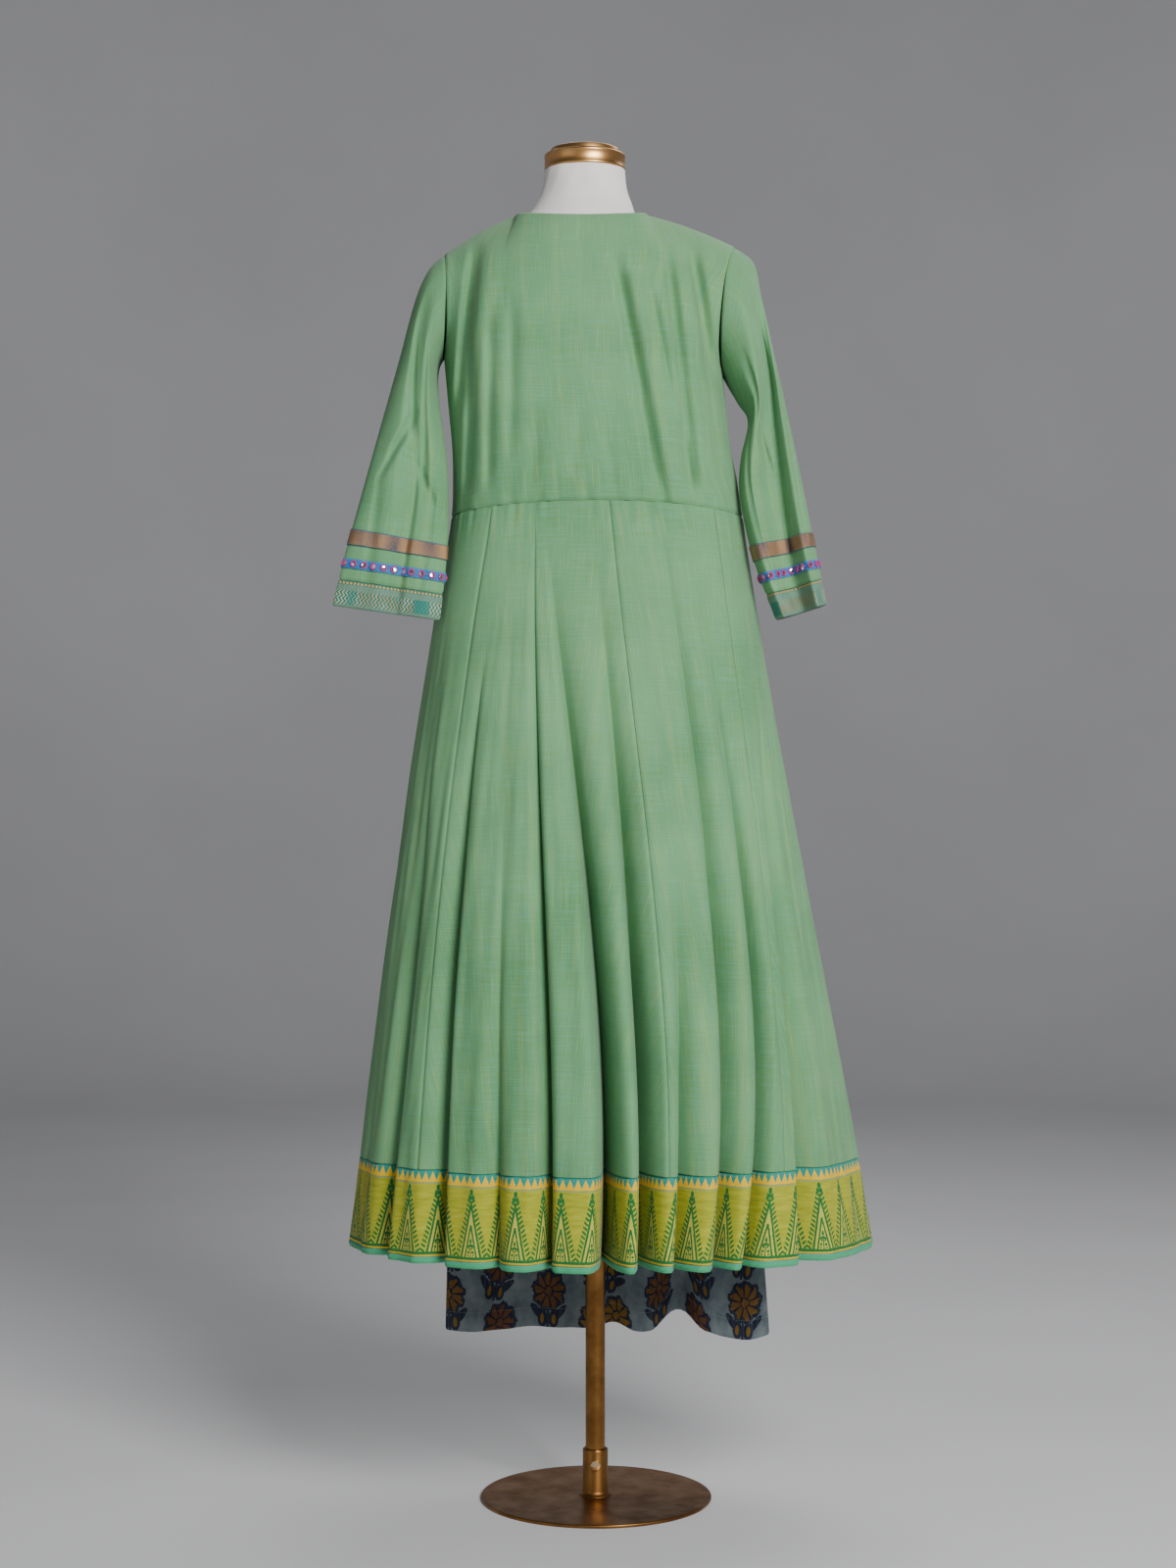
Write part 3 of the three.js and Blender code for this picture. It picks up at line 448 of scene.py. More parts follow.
def bodicePoint(face, across, up):
    neckline = necklines["back" if face > 0 else "front"]
    bearing = across * 90 if face > 0 else 180 - across * 90
    leftArm, rightArm = leftSleeve["rows"]["inZ"][0], rightSleeve["rows"]["inZ"][0]
    underarm = leftArm + (rightArm - leftArm) * (across + 1) / 2 - clothCut["seamGap"]
    bottom = waistSeam(bearing)
    body = bodyPoint(bearing, bottom + (underarm - bottom) * np.minimum(up, 1))
    rise = np.clip(up - 1, 0, 1)
    share = (across + 1) / 2
    armAngle = face * 180 * (1 - rise)
    low = bodyPoint(bearing, underarm)
    edge = topEdge(across, neckline, face)
    reach = 0.5 * (1 - np.abs(across))
    steps = (-1, -0.6, -0.2, 0.2, 0.6, 1)
    broad = sum(topEdge(across + reach * step, neckline, face) for step in steps) / len(steps)
    high = broad + (edge - broad) * smoothstep(rise, 0.5, 1)[..., None]
    point = low + (high - low) * rise[..., None]
    point[..., 1] = low[..., 1] + (high[..., 1] - low[..., 1]) * rise ** clothCut["yokeRound"]
    for sleeve, weight in ((leftSleeve, (1 - share) ** 6), (rightSleeve, share**6)):
        inner, outer = sleevePoint(sleeve, 180, 0, False), sleevePoint(sleeve, 0, 0, False)
        chord = inner + (outer - inner) * rise[..., None]
        chord[..., 1] = 0
        point += weight[..., None] * (sleevePoint(sleeve, armAngle, 0, False) - chord)
    point[..., 1] -= face * neckline["bulge"] * np.sin(np.pi * rise) * (1 - across**2)
    return np.where((up <= 1)[..., None], body, point)


def bodiceSurface(face):
    creases = backCreases if face > 0 else frontCreases

    def surface(across, up):
        point = bodicePoint(face, across, up)
        fromSide = 1 - np.abs(across)
        inside = smoothstep(fromSide, 0, 0.12) * smoothstep(up, 0, 0.15) * (1 - smoothstep(up, 1.75, 1.97))
        x, z = point[..., 0].copy(), point[..., 2].copy()
        gathers = 0.9 * np.exp(-((up / 0.1) ** 2)) * (np.sin(x * 0.21 + 0.8) + 0.6 * np.sin(x * 0.34 + 2))
        ease = inside * softWaves(x, z, bodiceWaves) + gathers * smoothstep(fromSide, 0, 0.1)
        eased = 0.3 + 0.7 * smoothstep(up, 0, 0.22)
        point[..., 1] += face * (creaseDepth(x, z, creases) * eased - ease)
        point[..., 1] -= face * clothCut["seamGap"] / 2
        return restOnForm(point, face)

    return surface


# Keeps the cloth clear of the form that it rests on.
def restOnForm(point, face):
    row = sampleRows(formRows, "z", point[..., 2])
    share = np.clip((point[..., 0] - row["x"]) / row["half"], -1, 1)
    reach = (row["back"] if face > 0 else row["front"]) * np.sqrt(1 - share**2) + clothCut["formGap"]
    inside = np.abs(share) < 1
    point[..., 1] = np.where(inside, -face * np.maximum(-face * point[..., 1], reach), point[..., 1])
    return point


# Pants, hung across the front of the form

pantsCut = {
    "top": 1125,
    "bandBottom": 1095,
    "hem": 190,
    "crotch": 835,
    "middleX": -2,
    "foldsFrom": 1000,  # the folds grow downwards from here
    "risesFrom": 480,  # the hem's rises and drops begin here
    "legGap": 1.6,
    "stitchUp": 24,
}


def pantsMiddle(x, row):
    share = (x - pantsCut["middleX"]) / row["wide"]
    root = np.sqrt(1 - share**2)
    outward = unit(points(row["deep"] * share / (row["wide"] * root), 1, 0 * x))
    return points(x, row["deep"] * root, row["z"]), outward


def legSurface(leg, face):
    def surface(across, level):
        row = sampleRows(pantsRows, "z", level)
        closed = smoothstep(pantsCut["crotch"] + 25 - level, 0, 40)
        thin = np.arcsin(clothCut["seamGap"] / 2 / row["thick"])
        last = np.pi / 2 + (np.pi / 2 - thin) * closed
        turn = thin + (last - thin) * across
        inner = row["mid"] + leg * (clothCut["seamGap"] / 2 + closed * pantsCut["legGap"])
        outer = row["left"] if leg < 0 else row["right"]
        x = outer + (inner - outer) * (1 - np.cos(turn)) / (1 - np.cos(last))
        point, outward = pantsMiddle(x, row)
        grown = smoothstep(pantsCut["foldsFrom"] - level, 0, pantsCut["foldsFrom"] - pantsCut["hem"])
        low = smoothstep(pantsCut["risesFrom"] - level, 0, pantsCut["risesFrom"] - pantsCut["hem"])
        back = sum(
            deep * grown * valley(x - at, left, right)
            for at, deep, left, right in zip(*pantsFolds.values())
        )
        rise = sum(
            up * low * valley(x - at, wide, wide)
            for at, up, wide in zip(*pantsHemRises.values())
        )
        ease = grown * softWaves(x, level, pantsWaves)
        point += (-face * row["thick"] * np.sin(turn))[..., None] * outward
        point[..., 1] += back + ease
        point[..., 2] += rise
        return point

    return surface


def waistbandSurface(angle, z):
    row = sampleRows(pantsRows, "z", z)
    turn = np.radians(angle)
    x = row["left"] + (row["right"] - row["left"]) * (1 - np.cos(turn)) / 2
    point, outward = pantsMiddle(x, row)
    return point - (row["thick"] * np.sin(turn))[..., None] * outward


def formSurface(bearing, z):
    row = sampleRows(formRows, "z", z)
    turn = np.radians(bearing)
    deep = np.where(np.cos(turn) > 0, row["back"], row["front"])
    under = 2.6 * (1 - smoothstep(z, 1574, 1594))  # the cloth lies over it up to here
    x = row["x"] + (row["half"] - under) * np.sin(turn)
    creases = smoothstep(z, 1585, 1612) * softWaves(bearing, z, neckWaves)
    point = points(x, -(deep - under) * np.cos(turn), z)
    point[..., :2] += creases[..., None] * np.stack([np.sin(turn), -np.cos(turn)], axis=-1)
    return point


# Building cloth

def makeMesh(name, vertices, faces, finish, replaced=(), faceUvs=None, flatFaces=None):
    mesh = bpy.data.meshes.new(name)
    mesh.from_pydata((np.asarray(vertices, float) * metre).tolist(), [], faces)
    mesh.polygons.foreach_set("use_smooth", [True] * len(mesh.polygons))
    if flatFaces is not None:
        sharp = mesh.attributes.get("sharp_face") or mesh.attributes.new("sharp_face", "BOOLEAN", "FACE")
        sharp.data.foreach_set("value", flatFaces)
    if faceUvs is not None:
        layer = mesh.uv_layers.new(name="cloth")
        layer.data.foreach_set("uv", np.asarray(faceUvs, float).ravel())
    mesh.update()
    mesh.validate()
    piece = bpy.data.objects.new(name, mesh)
    bpy.context.scene.collection.objects.link(piece)
    mesh.materials.append(finish)
    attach(piece, "root")
    if replaced:
        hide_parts(*replaced)
    return piece


# Four-cornered faces between rings of points that lie one after the other.
def ringFaces(rings, sides, base=0):
    faces = []
    for i in range(rings - 1):
        low, high = base + i * sides, base + (i + 1) * sides
        for k in range(sides):
            n = (k + 1) % sides
            faces.append([low + k, low + n, high + n, high + k])
    return faces


def gridNormals(place, ring):
    if ring:
        alongA = np.roll(place, -1, axis=1) - np.roll(place, 1, axis=1)
    else:
        alongA = np.gradient(place, axis=1)
    alongB = np.gradient(place, axis=0)
    return unit(np.cross(alongA, alongB))


def runLengths(place, axis):
    steps = np.linalg.norm(np.diff(place, axis=axis), axis=-1)
    start = np.zeros_like(np.take(steps, [0], axis=axis))
    return np.concatenate([start, np.cumsum(steps, axis=axis)], axis=axis)


# A closed shell of cloth over surface(a, b). tuck pulls the named edges in, as a sewn seam does.
def sewShell(
    name, surface, a, b, finish, replaced, sense,
    ring=False, thick=None, tuck=(), lift=0, straight=False,
):
    thick = clothCut["thick"] if thick is None else thick
    gridA, gridB = np.meshgrid(a, b)
    place = surface(gridA, gridB)
    normal = gridNormals(place, ring) * sense
    pull = np.zeros(place.shape[:2])
    alongA, alongB = runLengths(place, 1), runLengths(place, 0)
    distances = {
        "start": alongA,
        "end": alongA[:, -1:] - alongA,
        "bottom": alongB,
        "top": alongB[-1:] - alongB,
    }
    for edge in tuck:
        pull = np.maximum(pull, np.exp(-((distances[edge] / clothCut["tuckReach"]) ** 2)))
    outer = place + normal * (lift - clothCut["seamTuck"] * pull[..., None])
    inner = outer - normal * thick
    rows, columns = place.shape[:2]
    closedA = np.concatenate([place, place[:, :1]], axis=1) if ring else place
    along = runLengths(closedA, 1)
    along = along - (0 if ring else along[:, columns // 2][:, None])
    if straight:
        along = np.broadcast_to(along[rows // 2], along.shape)
    height = np.broadcast_to(runLengths(place, 0).mean(axis=1)[:, None], along.shape)
    uv = np.stack([along, height], axis=-1) * metre
    size = rows * columns
    wide = columns if ring else columns - 1
    i, j = np.meshgrid(np.arange(rows - 1), np.arange(wide), indexing="ij")
    i, j = i.ravel(), j.ravel()
    k = (j + 1) % columns
    corners = [(i, j, j), (i, k, j + 1), (i + 1, k, j + 1), (i + 1, j, j)]
    index = np.stack([row * columns + column for row, column, _ in corners], axis=-1)
    faceUv = np.stack([uv[row, at] for row, _, at in corners], axis=1)
    if sense < 0:
        index, faceUv = index[:, ::-1], faceUv[:, ::-1]
    faces = np.concatenate([index, index[:, ::-1] + size])
    uvs = np.concatenate([faceUv, faceUv[:, ::-1]])
    rims, rimUvs = [], []

    def addRim(first, second, firstUv, secondUv):
        rims.append([first, second, second + size, first + size])
        rimUvs.append([firstUv, secondUv, secondUv, firstUv])

    for column in range(wide):
        right = (column + 1) % columns
        addRim(right, column, uv[0, column + 1], uv[0, column])
        top = (rows - 1) * columns
        addRim(top + column, top + right, uv[-1, column], uv[-1, column + 1])
    if not ring:
        for row in range(rows - 1):
            addRim(row * columns, (row + 1) * columns, uv[row, 0], uv[row + 1, 0])
            end = (row + 1) * columns - 1
            addRim(end + columns, end, uv[row + 1, -1], uv[row, -1])
    rims, rimUvs = np.array(rims), np.array(rimUvs)
    if sense < 0:
        rims, rimUvs = rims[:, ::-1], rimUvs[:, ::-1]
    faces = np.concatenate([faces, rims])
    uvs = np.concatenate([uvs, rimUvs])
    flat = np.arange(len(faces)) >= len(faces) - len(rims)
    vertices = np.concatenate([outer.reshape(-1, 3), inner.reshape(-1, 3)])
    return makeMesh(name, vertices, faces.tolist(), finish, replaced, uvs.reshape(-1, 2), flat)


# Even steps with extra rows near the two ends, where a seam's edge turns in.
def seamSteps(low, high, count, margin, atLow=True, atHigh=True):
    steps = list(np.linspace(low, high, count))
    for share in (0.06, 0.14, 0.25, 0.4, 0.62):
        if atLow:
            steps.append(low + (high - low) * margin * share)
        if atHigh:
            steps.append(high - (high - low) * margin * share)
    return np.unique(np.round(steps, 6))


# Bearings round the skirt, closer together where the folds turn in.
def foldSteps(low, high, gap=0.74):
    steps = list(np.linspace(low, high, int((high - low) / gap) + 1))
    for hemAt in skirtFolds["hem"]:
        for turn in (-360, 0, 360):
            steps += list(hemAt + turn + np.arange(-1.8, 1.81, 0.3))
    kept = [low]
    for step in sorted(steps):
        if kept[-1] + 0.14 < step < high - 0.1:
            kept.append(step)
    return np.array(kept + [high])


# Small pieces laid on the cloth

def frameAt(surface, a, b, sense, stepA, stepB):
    a, b = np.atleast_1d(np.asarray(a, float)), np.atleast_1d(np.asarray(b, float))
    place = surface(a, b)
    alongA = unit(surface(a + stepA, b) - surface(a - stepA, b))
    alongB = surface(a, b + stepB) - surface(a, b - stepB)
    normal = unit(np.cross(alongA, alongB)) * sense
    return place, alongA, normal


# Stitches along a line of points: each is a small grain of thread that dips at its two ends.
def sewStitches(name, lines, thread, finish):
    vertices, faces = [], []
    for place, normal in lines:
        run = runLengths(place[None], 1)[0]
        pitch = thread["length"] + thread["gap"]
        starts = np.arange(thread["gap"] / 2, run[-1] - thread["length"], pitch)
        marks = starts[:, None] + np.array([0, 0.5, 1]) * thread["length"]
        at = np.stack([np.interp(marks, run, place[:, k]) for k in range(3)], axis=-1)
        up = unit(np.stack([np.interp(marks[:, 1], run, normal[:, k]) for k in range(3)], axis=-1))
        side = unit(np.cross(at[:, 2] - at[:, 0], up))
        half = thread["wide"] / 2
        for n in range(len(starts)):
            base = len(vertices)
            low, middle, end = at[n]
            top = middle + up[n] * thread["high"]
            vertices += [low - up[n] * 0.1, end - up[n] * 0.1]
            vertices += [middle + side[n] * half, top, middle - side[n] * half, middle - up[n] * 0.15]
            ring = [base + 2, base + 3, base + 4, base + 5]
            for k in range(4):
                faces.append([base, ring[(k + 1) % 4], ring[k]])
                faces.append([base + 1, ring[k], ring[(k + 1) % 4]])
    return makeMesh(name, vertices, faces, finish)


# A round piece turned about an upright axis, from its profile of radius and height.
def turnPiece(name, profile, centre, finish, slot, replaced, sides=96):
    rims = np.array(profile, float)
    turns = np.linspace(0, 2 * np.pi, sides, endpoint=False)
    vertices = [
        (centre[0] + radius * math.cos(t), centre[1] + radius * math.sin(t), centre[2] + height)
        for radius, height in rims
        for t in turns
    ]
    run = np.concatenate([[0], np.cumsum(np.linalg.norm(np.diff(rims, axis=0), axis=1))]) * metre
    reach = rims[:, 0].max() * metre * 2 * math.pi / sides
    uvs = []
    for low, high in zip(run, run[1:]):
        for j in range(sides):
            left, right = j * reach, (j + 1) * reach
            uvs += [(left, low), (right, low), (right, high), (left, high)]
    piece = makeMesh(name, vertices, ringFaces(len(rims), sides), finish, replaced, uvs)
    joined = bmesh.new()
    joined.from_mesh(piece.data)
    bmesh.ops.remove_doubles(joined, verts=joined.verts, dist=1e-6)
    joined.to_mesh(piece.data)
    joined.free()
    piece.data.set_sharp_from_angle(angle=math.radians(40))
    return piece


# Finishes

def paint(red, green, blue):
    def level(value):
        share = value / 255
        return share / 12.92 if share <= 0.04045 else ((share + 0.055) / 1.055) ** 2.4

    return (level(red), level(green), level(blue), 1.0)


class Finish:
    def __init__(self, name, roughness=0.8, metallic=0.0, **values):
        self.material = bpy.data.materials.new(name)
        self.material.use_nodes = True
        self.tree = self.material.node_tree
        self.tree.nodes.clear()
        self.shader = self.tree.nodes.new("ShaderNodeBsdfPrincipled")
        output = self.tree.nodes.new("ShaderNodeOutputMaterial")
        self.tree.links.new(self.shader.outputs[0], output.inputs[0])
        self.shader.inputs["Roughness"].default_value = roughness
        self.shader.inputs["Metallic"].default_value = metallic
        for socket, value in values.items():
            self.shader.inputs[socket.replace("_", " ")].default_value = value
        self.material.diffuse_color = (0.5, 0.5, 0.5, 1)

    def feed(self, socket, value):
        if isinstance(value, bpy.types.NodeSocket):
            self.tree.links.new(value, socket)
        else:
            socket.default_value = value

    def calc(self, operation, *values):
        node = self.tree.nodes.new("ShaderNodeMath")
        node.operation = operation
        for socket, value in zip(node.inputs, values):
            self.feed(socket, value)
        return node.outputs[0]

    def times(self, value, factor):
        return self.calc("MULTIPLY", value, factor)

    def over(self, value, divisor):
        return self.calc("DIVIDE", value, divisor)

    def plus(self, value, other):
        return self.calc("ADD", value, other)

    def minus(self, value, other):
        return self.calc("SUBTRACT", value, other)

    def timesPlus(self, value, factor, added):
        return self.calc("MULTIPLY_ADD", value, factor, added)

    def below(self, value, limit):
        return self.calc("LESS_THAN", value, limit)

    def beyond(self, value, limit):
        return self.calc("GREATER_THAN", value, limit)

    # Rises from 0 to reach and falls back to 0, over and over.
    def zigzag(self, value, reach):
        return self.calc("PINGPONG", value, reach)

    def cloth(self):
        node = self.tree.nodes.new("ShaderNodeUVMap")
        node.uv_map = "cloth"
        split = self.tree.nodes.new("ShaderNodeSeparateXYZ")
        self.tree.links.new(node.outputs[0], split.inputs[0])
        return split.outputs[0], split.outputs[1]

    def place(self):
        return self.tree.nodes.new("ShaderNodeTexCoord").outputs["Object"]

    def pair(self, x, y, z=0.0):
        node = self.tree.nodes.new("ShaderNodeCombineXYZ")
        for socket, value in zip(node.inputs, (x, y, z)):
            self.feed(socket, value)
        return node.outputs[0]

    def noise(self, where, scale=1.0, detail=2.0, rough=0.5):
        node = self.tree.nodes.new("ShaderNodeTexNoise")
        self.feed(node.inputs["Vector"], where)
        node.inputs["Scale"].default_value = scale
        node.inputs["Detail"].default_value = detail
        node.inputs["Roughness"].default_value = rough
        return node.outputs[0]

    # Noise drawn out along the cloth: marks per metre across and along, and which layer of it.
    def streaks(self, u, v, perU, perV, layer=0.0, detail=2.0, rough=0.5):
        return self.noise(self.pair(self.times(u, perU), self.times(v, perV), layer), 1, detail, rough)

    def chance(self, where):
        node = self.tree.nodes.new("ShaderNodeTexWhiteNoise")
        node.noise_dimensions = "3D"
        self.feed(node.inputs["Vector"], where)
        return node.outputs[0]

    def range(self, value, low, high, toLow=0.0, toHigh=1.0):
        node = self.tree.nodes.new("ShaderNodeMapRange")
        for socket, item in zip(node.inputs, (value, low, high, toLow, toHigh)):
            self.feed(socket, item)
        return node.outputs[0]

    def mix(self, share, first, second):
        node = self.tree.nodes.new("ShaderNodeMix")
        node.data_type = "RGBA"
        self.feed(node.inputs[0], share)
        self.feed(node.inputs[6], first)
        self.feed(node.inputs[7], second)
        return node.outputs[2]

    def within(self, value, low, high):
        return self.calc("COMPARE", value, (low + high) / 2, (high - low) / 2)

    def join(self, *masks):
        total = masks[0]
        for mask in masks[1:]:
            total = self.calc("MAXIMUM", total, mask)
        return total

    def both(self, *masks):
        total = masks[0]
        for mask in masks[1:]:
            total = self.times(total, mask)
        return total

    # An oval mark in the plane of x and y.
    def oval(self, x, y, centreX, centreY, halfX, halfY):
        acrossX = self.over(self.minus(x, centreX), halfX)
        acrossY = self.over(self.minus(y, centreY), halfY)
        square = self.plus(self.times(acrossX, acrossX), self.times(acrossY, acrossY))
        return self.below(square, 1.0)

    def bump(self, height, distance):
        node = self.tree.nodes.new("ShaderNodeBump")
        node.inputs["Distance"].default_value = distance
        node.inputs["Strength"].default_value = 1.0
        self.feed(node.inputs["Height"], height)
        self.tree.links.new(node.outputs[0], self.shader.inputs["Normal"])

    # The threads of a plain weave, with thicker slubs in both directions.
    def weave(self, u, v, pitch, distance, slubs=0.5):
        turn = 2 * math.pi / pitch
        warp = self.calc("SINE", self.times(u, turn))
        weft = self.calc("SINE", self.times(v, turn))
        cross = self.times(warp, weft)
        across = self.streaks(u, v, 22, 900)
        upright = self.streaks(u, v, 900, 22, 5.0)
        rough = self.plus(across, upright)
        height = self.timesPlus(rough, slubs * 2, self.times(cross, 0.3))
        self.bump(height, distance)
        return across, upright

    def color(self, value):
        self.feed(self.shader.inputs["Base Color"], value)
        return self.material


shotCottonLook = {
    "ground": paint(104, 158, 108),
    "deep": paint(80, 134, 86),
    "teal": paint(88, 162, 142),
    "yellow": paint(152, 176, 106),
    "faded": paint(126, 168, 120),
}


def shotCotton():
    look = shotCottonLook
    cloth = Finish("shotCotton", 0.78, Sheen_Weight=0.1, Sheen_Roughness=0.5, Specular_IOR_Level=0.3)
    u, v = cloth.cloth()
    across, upright = cloth.weave(u, v, 0.00062, 0.00016)
    broad = cloth.noise(cloth.place(), 7, 3)
    tone = cloth.mix(cloth.range(broad, 0.35, 0.65), look["deep"], look["ground"])
    longWeft = cloth.streaks(u, v, 24, 760, 2.0, 2, 0.6)
    longWarp = cloth.streaks(u, v, 760, 18, 9.0, 2, 0.6)
    wideWarp = cloth.streaks(u, v, 90, 2, 4.0, 2, 0.5)
    tone = cloth.mix(cloth.range(longWeft, 0.46, 0.7, 0, 0.5), tone, look["teal"])
    tone = cloth.mix(cloth.range(longWarp, 0.5, 0.72, 0, 0.42), tone, look["yellow"])
    tone = cloth.mix(cloth.range(wideWarp, 0.5, 0.72, 0, 0.22), tone, look["yellow"])
    tone = cloth.mix(cloth.range(cloth.times(across, upright), 0.2, 0.36, 0.3, 0), tone, look["deep"])
    worn = cloth.noise(cloth.place(), 2.2, 2)
    tone = cloth.mix(cloth.range(worn, 0.45, 0.7, 0, 0.3), tone, look["faded"])
    return cloth.color(tone)


hemPrintLook = {
    "field": paint(140, 146, 26),
    # the field's painted crease highlight
    "fieldCreaseHighlight": paint(164, 166, 42),
    "inside": paint(180, 176, 62),
    "tree": paint(12, 92, 40),
    "treeLight": paint(30, 112, 52),
    "turquoise": paint(20, 134, 120),
    "gold": paint(222, 176, 8),
    "hairline": paint(108, 140, 130),
    "pitch": 0.037,  # from spire to spire, in metres like the sizes below
    "baseLine": 0.0052,
    "goldLine": (-0.0052, -0.0034),  # measured from the base line
    "hairlineAt": (0.0848, 0.0857),
    "tooth": 0.0090,
    "toothFoot": 0.0866,
    "toothTip": 0.0990,
    "toothSlope": -2.4,
    # Half-width at the base line, height and half-breadth, then a leaf row's step and lean.
    "outerLeaves": (0.0172, 0.074, 0.0026, 0.0062, -0.9),
    "outerLine": (0.0114, 0.061, 0.0012),
    "middleLine": (0.0068, 0.037, 0.0010),
    "innerLeaves": (0.0036, 0.021, 0.0009, 0.0044, -0.7),
    "lightField": (0.0116, 0.061),
    # Ovals: middle across and up, half-width and half-height.
    "finial": [(0, 0.0745, 0.0021, 0.0038), (0.0024, 0.0678, 0.0016, 0.0026)],
    "plant": [
        (0, 0.0185, 0.0014, 0.0024),
        (0.0022, 0.0125, 0.0012, 0.0019),
        (0.0026, 0.0058, 0.0013, 0.0017),
    ],
    "stemHalf": 0.0006,
    "stems": [(0.0, 0.022), (0.058, 0.073)],
    "baseBar": (-0.0030, 0.0004),
}


# A traditional temple border: rows of leaf marks climb both sides of each spire.
def hemPrint():
    look = hemPrintLook
    cloth = Finish("hemPrint", 0.78, Sheen_Weight=0.08, Specular_IOR_Level=0.3)
    u, v = cloth.cloth()
    _, upright = cloth.weave(u, v, 0.00062, 0.00015)
    shake = cloth.streaks(u, v, 420, 420)
    shift = cloth.range(shake, 0.3, 0.7, -0.00025, 0.00025)
    u = cloth.plus(u, shift)
    v = cloth.plus(v, shift)
    a = cloth.zigzag(u, look["pitch"] / 2)  # distance from a spire's middle
    t = cloth.minus(v, look["baseLine"])  # height above the base line
    # Painted crease shade and highlight: the field turns darker and lighter in thin streaks that run along
    # the hem.
    paintedCreaseLight = cloth.streaks(u, v, 40, 260, 6.0, 3, 0.6)
    field = cloth.mix(cloth.range(paintedCreaseLight, 0.35, 0.65), look["field"], look["fieldCreaseHighlight"])
    tree = cloth.mix(cloth.range(upright, 0.35, 0.7), look["tree"], look["treeLight"])

    def slope(bottomHalf, height):
        return cloth.timesPlus(t, -bottomHalf / height, bottomHalf)

    def ruled(bottomHalf, height, halfLine):
        gap = cloth.calc("ABSOLUTE", cloth.minus(a, slope(bottomHalf, height)))
        return cloth.both(cloth.below(gap, halfLine), cloth.within(t, 0, height))

    def leafRow(bottomHalf, height, halfLine, step, lean):
        slanted = cloth.timesPlus(a, lean, t)
        beat = cloth.zigzag(slanted, step / 2)
        return cloth.both(ruled(bottomHalf, height, halfLine), cloth.below(beat, step * 0.25))

    def stem(reach):
        return cloth.both(cloth.below(a, look["stemHalf"]), cloth.within(t, *reach))

    def ovals(marks):
        return cloth.join(*(cloth.oval(a, t, *mark) for mark in marks))

    leaves = cloth.join(leafRow(*look["outerLeaves"]), leafRow(*look["innerLeaves"]))
    lines = cloth.join(ruled(*look["outerLine"]), ruled(*look["middleLine"]))
    inside = cloth.below(a, slope(*look["lightField"]))
    stems = cloth.join(*(stem(reach) for reach in look["stems"]))
    base = cloth.within(t, *look["baseBar"])
    tone = cloth.mix(inside, field, look["inside"])
    spire = cloth.join(leaves, lines, stems, ovals(look["finial"]), ovals(look["plant"]), base)
    tone = cloth.mix(spire, tone, tree)
    tone = cloth.mix(cloth.within(t, *look["goldLine"]), tone, look["gold"])
    tone = cloth.mix(cloth.within(v, *look["hairlineAt"]), tone, look["hairline"])
    tooth = cloth.zigzag(u, look["tooth"] / 2)
    reach = cloth.timesPlus(tooth, look["toothSlope"], look["toothTip"])
    above = cloth.beyond(v, look["toothFoot"])
    tone = cloth.mix(above, tone, look["gold"])
    tone = cloth.mix(cloth.both(cloth.beyond(v, reach), above), tone, look["turquoise"])
    return cloth.color(tone)


bindingLook = {
    "dark": paint(40, 146, 98),
    "light": paint(62, 170, 116),
    "line": paint(50, 160, 146),
    "lineAt": (0.0058, 0.0070),
}


def hemBinding():
    look = bindingLook
    cloth = Finish("hemBinding", 0.7, Sheen_Weight=0.1)
    u, v = cloth.cloth()
    slanted = cloth.plus(u, v)
    across, _ = cloth.weave(slanted, cloth.minus(u, v), 0.0006, 0.00015)
    tone = cloth.mix(cloth.range(across, 0.3, 0.7), look["dark"], look["light"])
    return cloth.color(cloth.mix(cloth.within(v, *look["lineAt"]), tone, look["line"]))


cuffPrintLook = {
    "groundDark": paint(0, 100, 92),
    "groundLight": paint(4, 124, 110),
    "palePart": paint(216, 184, 134),
    "goldPart": paint(196, 128, 56),
    "check": paint(190, 176, 132),
    "dash": paint(214, 150, 62),
    "pitch": 0.0046,
    "rise": 0.0072,
    "sway": 0.0038,
    "paleEdge": 0.0038,
    "checkedBand": (0.0205, 0.0278),
    "dashRow": (0.0285, 0.0308),
}


# Rows of woven chevrons between a checked band and a pale edge.
def cuffPrint():
    look = cuffPrintLook
    cloth = Finish("cuffPrint", 0.7, Sheen_Weight=0.1, Specular_IOR_Level=0.35)
    u, v = cloth.cloth()
    _, upright = cloth.weave(u, v, 0.0006, 0.00015)
    sway = cloth.zigzag(v, look["rise"] / 2)
    swung = cloth.timesPlus(sway, look["sway"] / (look["rise"] / 2), u)
    stripe = cloth.below(cloth.zigzag(swung, look["pitch"] / 2), look["pitch"] * 0.13)
    patch = cloth.streaks(u, v, 55, 20, 5.0)
    thread = cloth.mix(cloth.range(patch, 0.42, 0.58), look["palePart"], look["goldPart"])
    ground = cloth.mix(cloth.range(upright, 0.35, 0.7), look["groundDark"], look["groundLight"])
    plain = cloth.streaks(u, v, 24, 3, 11.0, 1)
    tone = cloth.mix(cloth.both(stripe, cloth.range(plain, 0.54, 0.6, 1, 0.12)), ground, thread)
    checkU = cloth.below(cloth.zigzag(u, 0.0008), 0.0004)
    checkV = cloth.below(cloth.zigzag(v, 0.0011), 0.00055)
    check = cloth.calc("ABSOLUTE", cloth.minus(checkU, checkV))
    pale = cloth.mix(cloth.times(check, 0.42), ground, look["check"])
    checked = cloth.join(cloth.within(v, *look["checkedBand"]), cloth.below(v, look["paleEdge"]))
    tone = cloth.mix(checked, tone, pale)
    tone = cloth.mix(cloth.beyond(v, look["checkedBand"][1]), tone, ground)
    dash = cloth.both(cloth.below(cloth.zigzag(u, 0.0023), 0.0012), cloth.within(v, *look["dashRow"]))
    return cloth.color(cloth.mix(dash, tone, look["dash"]))


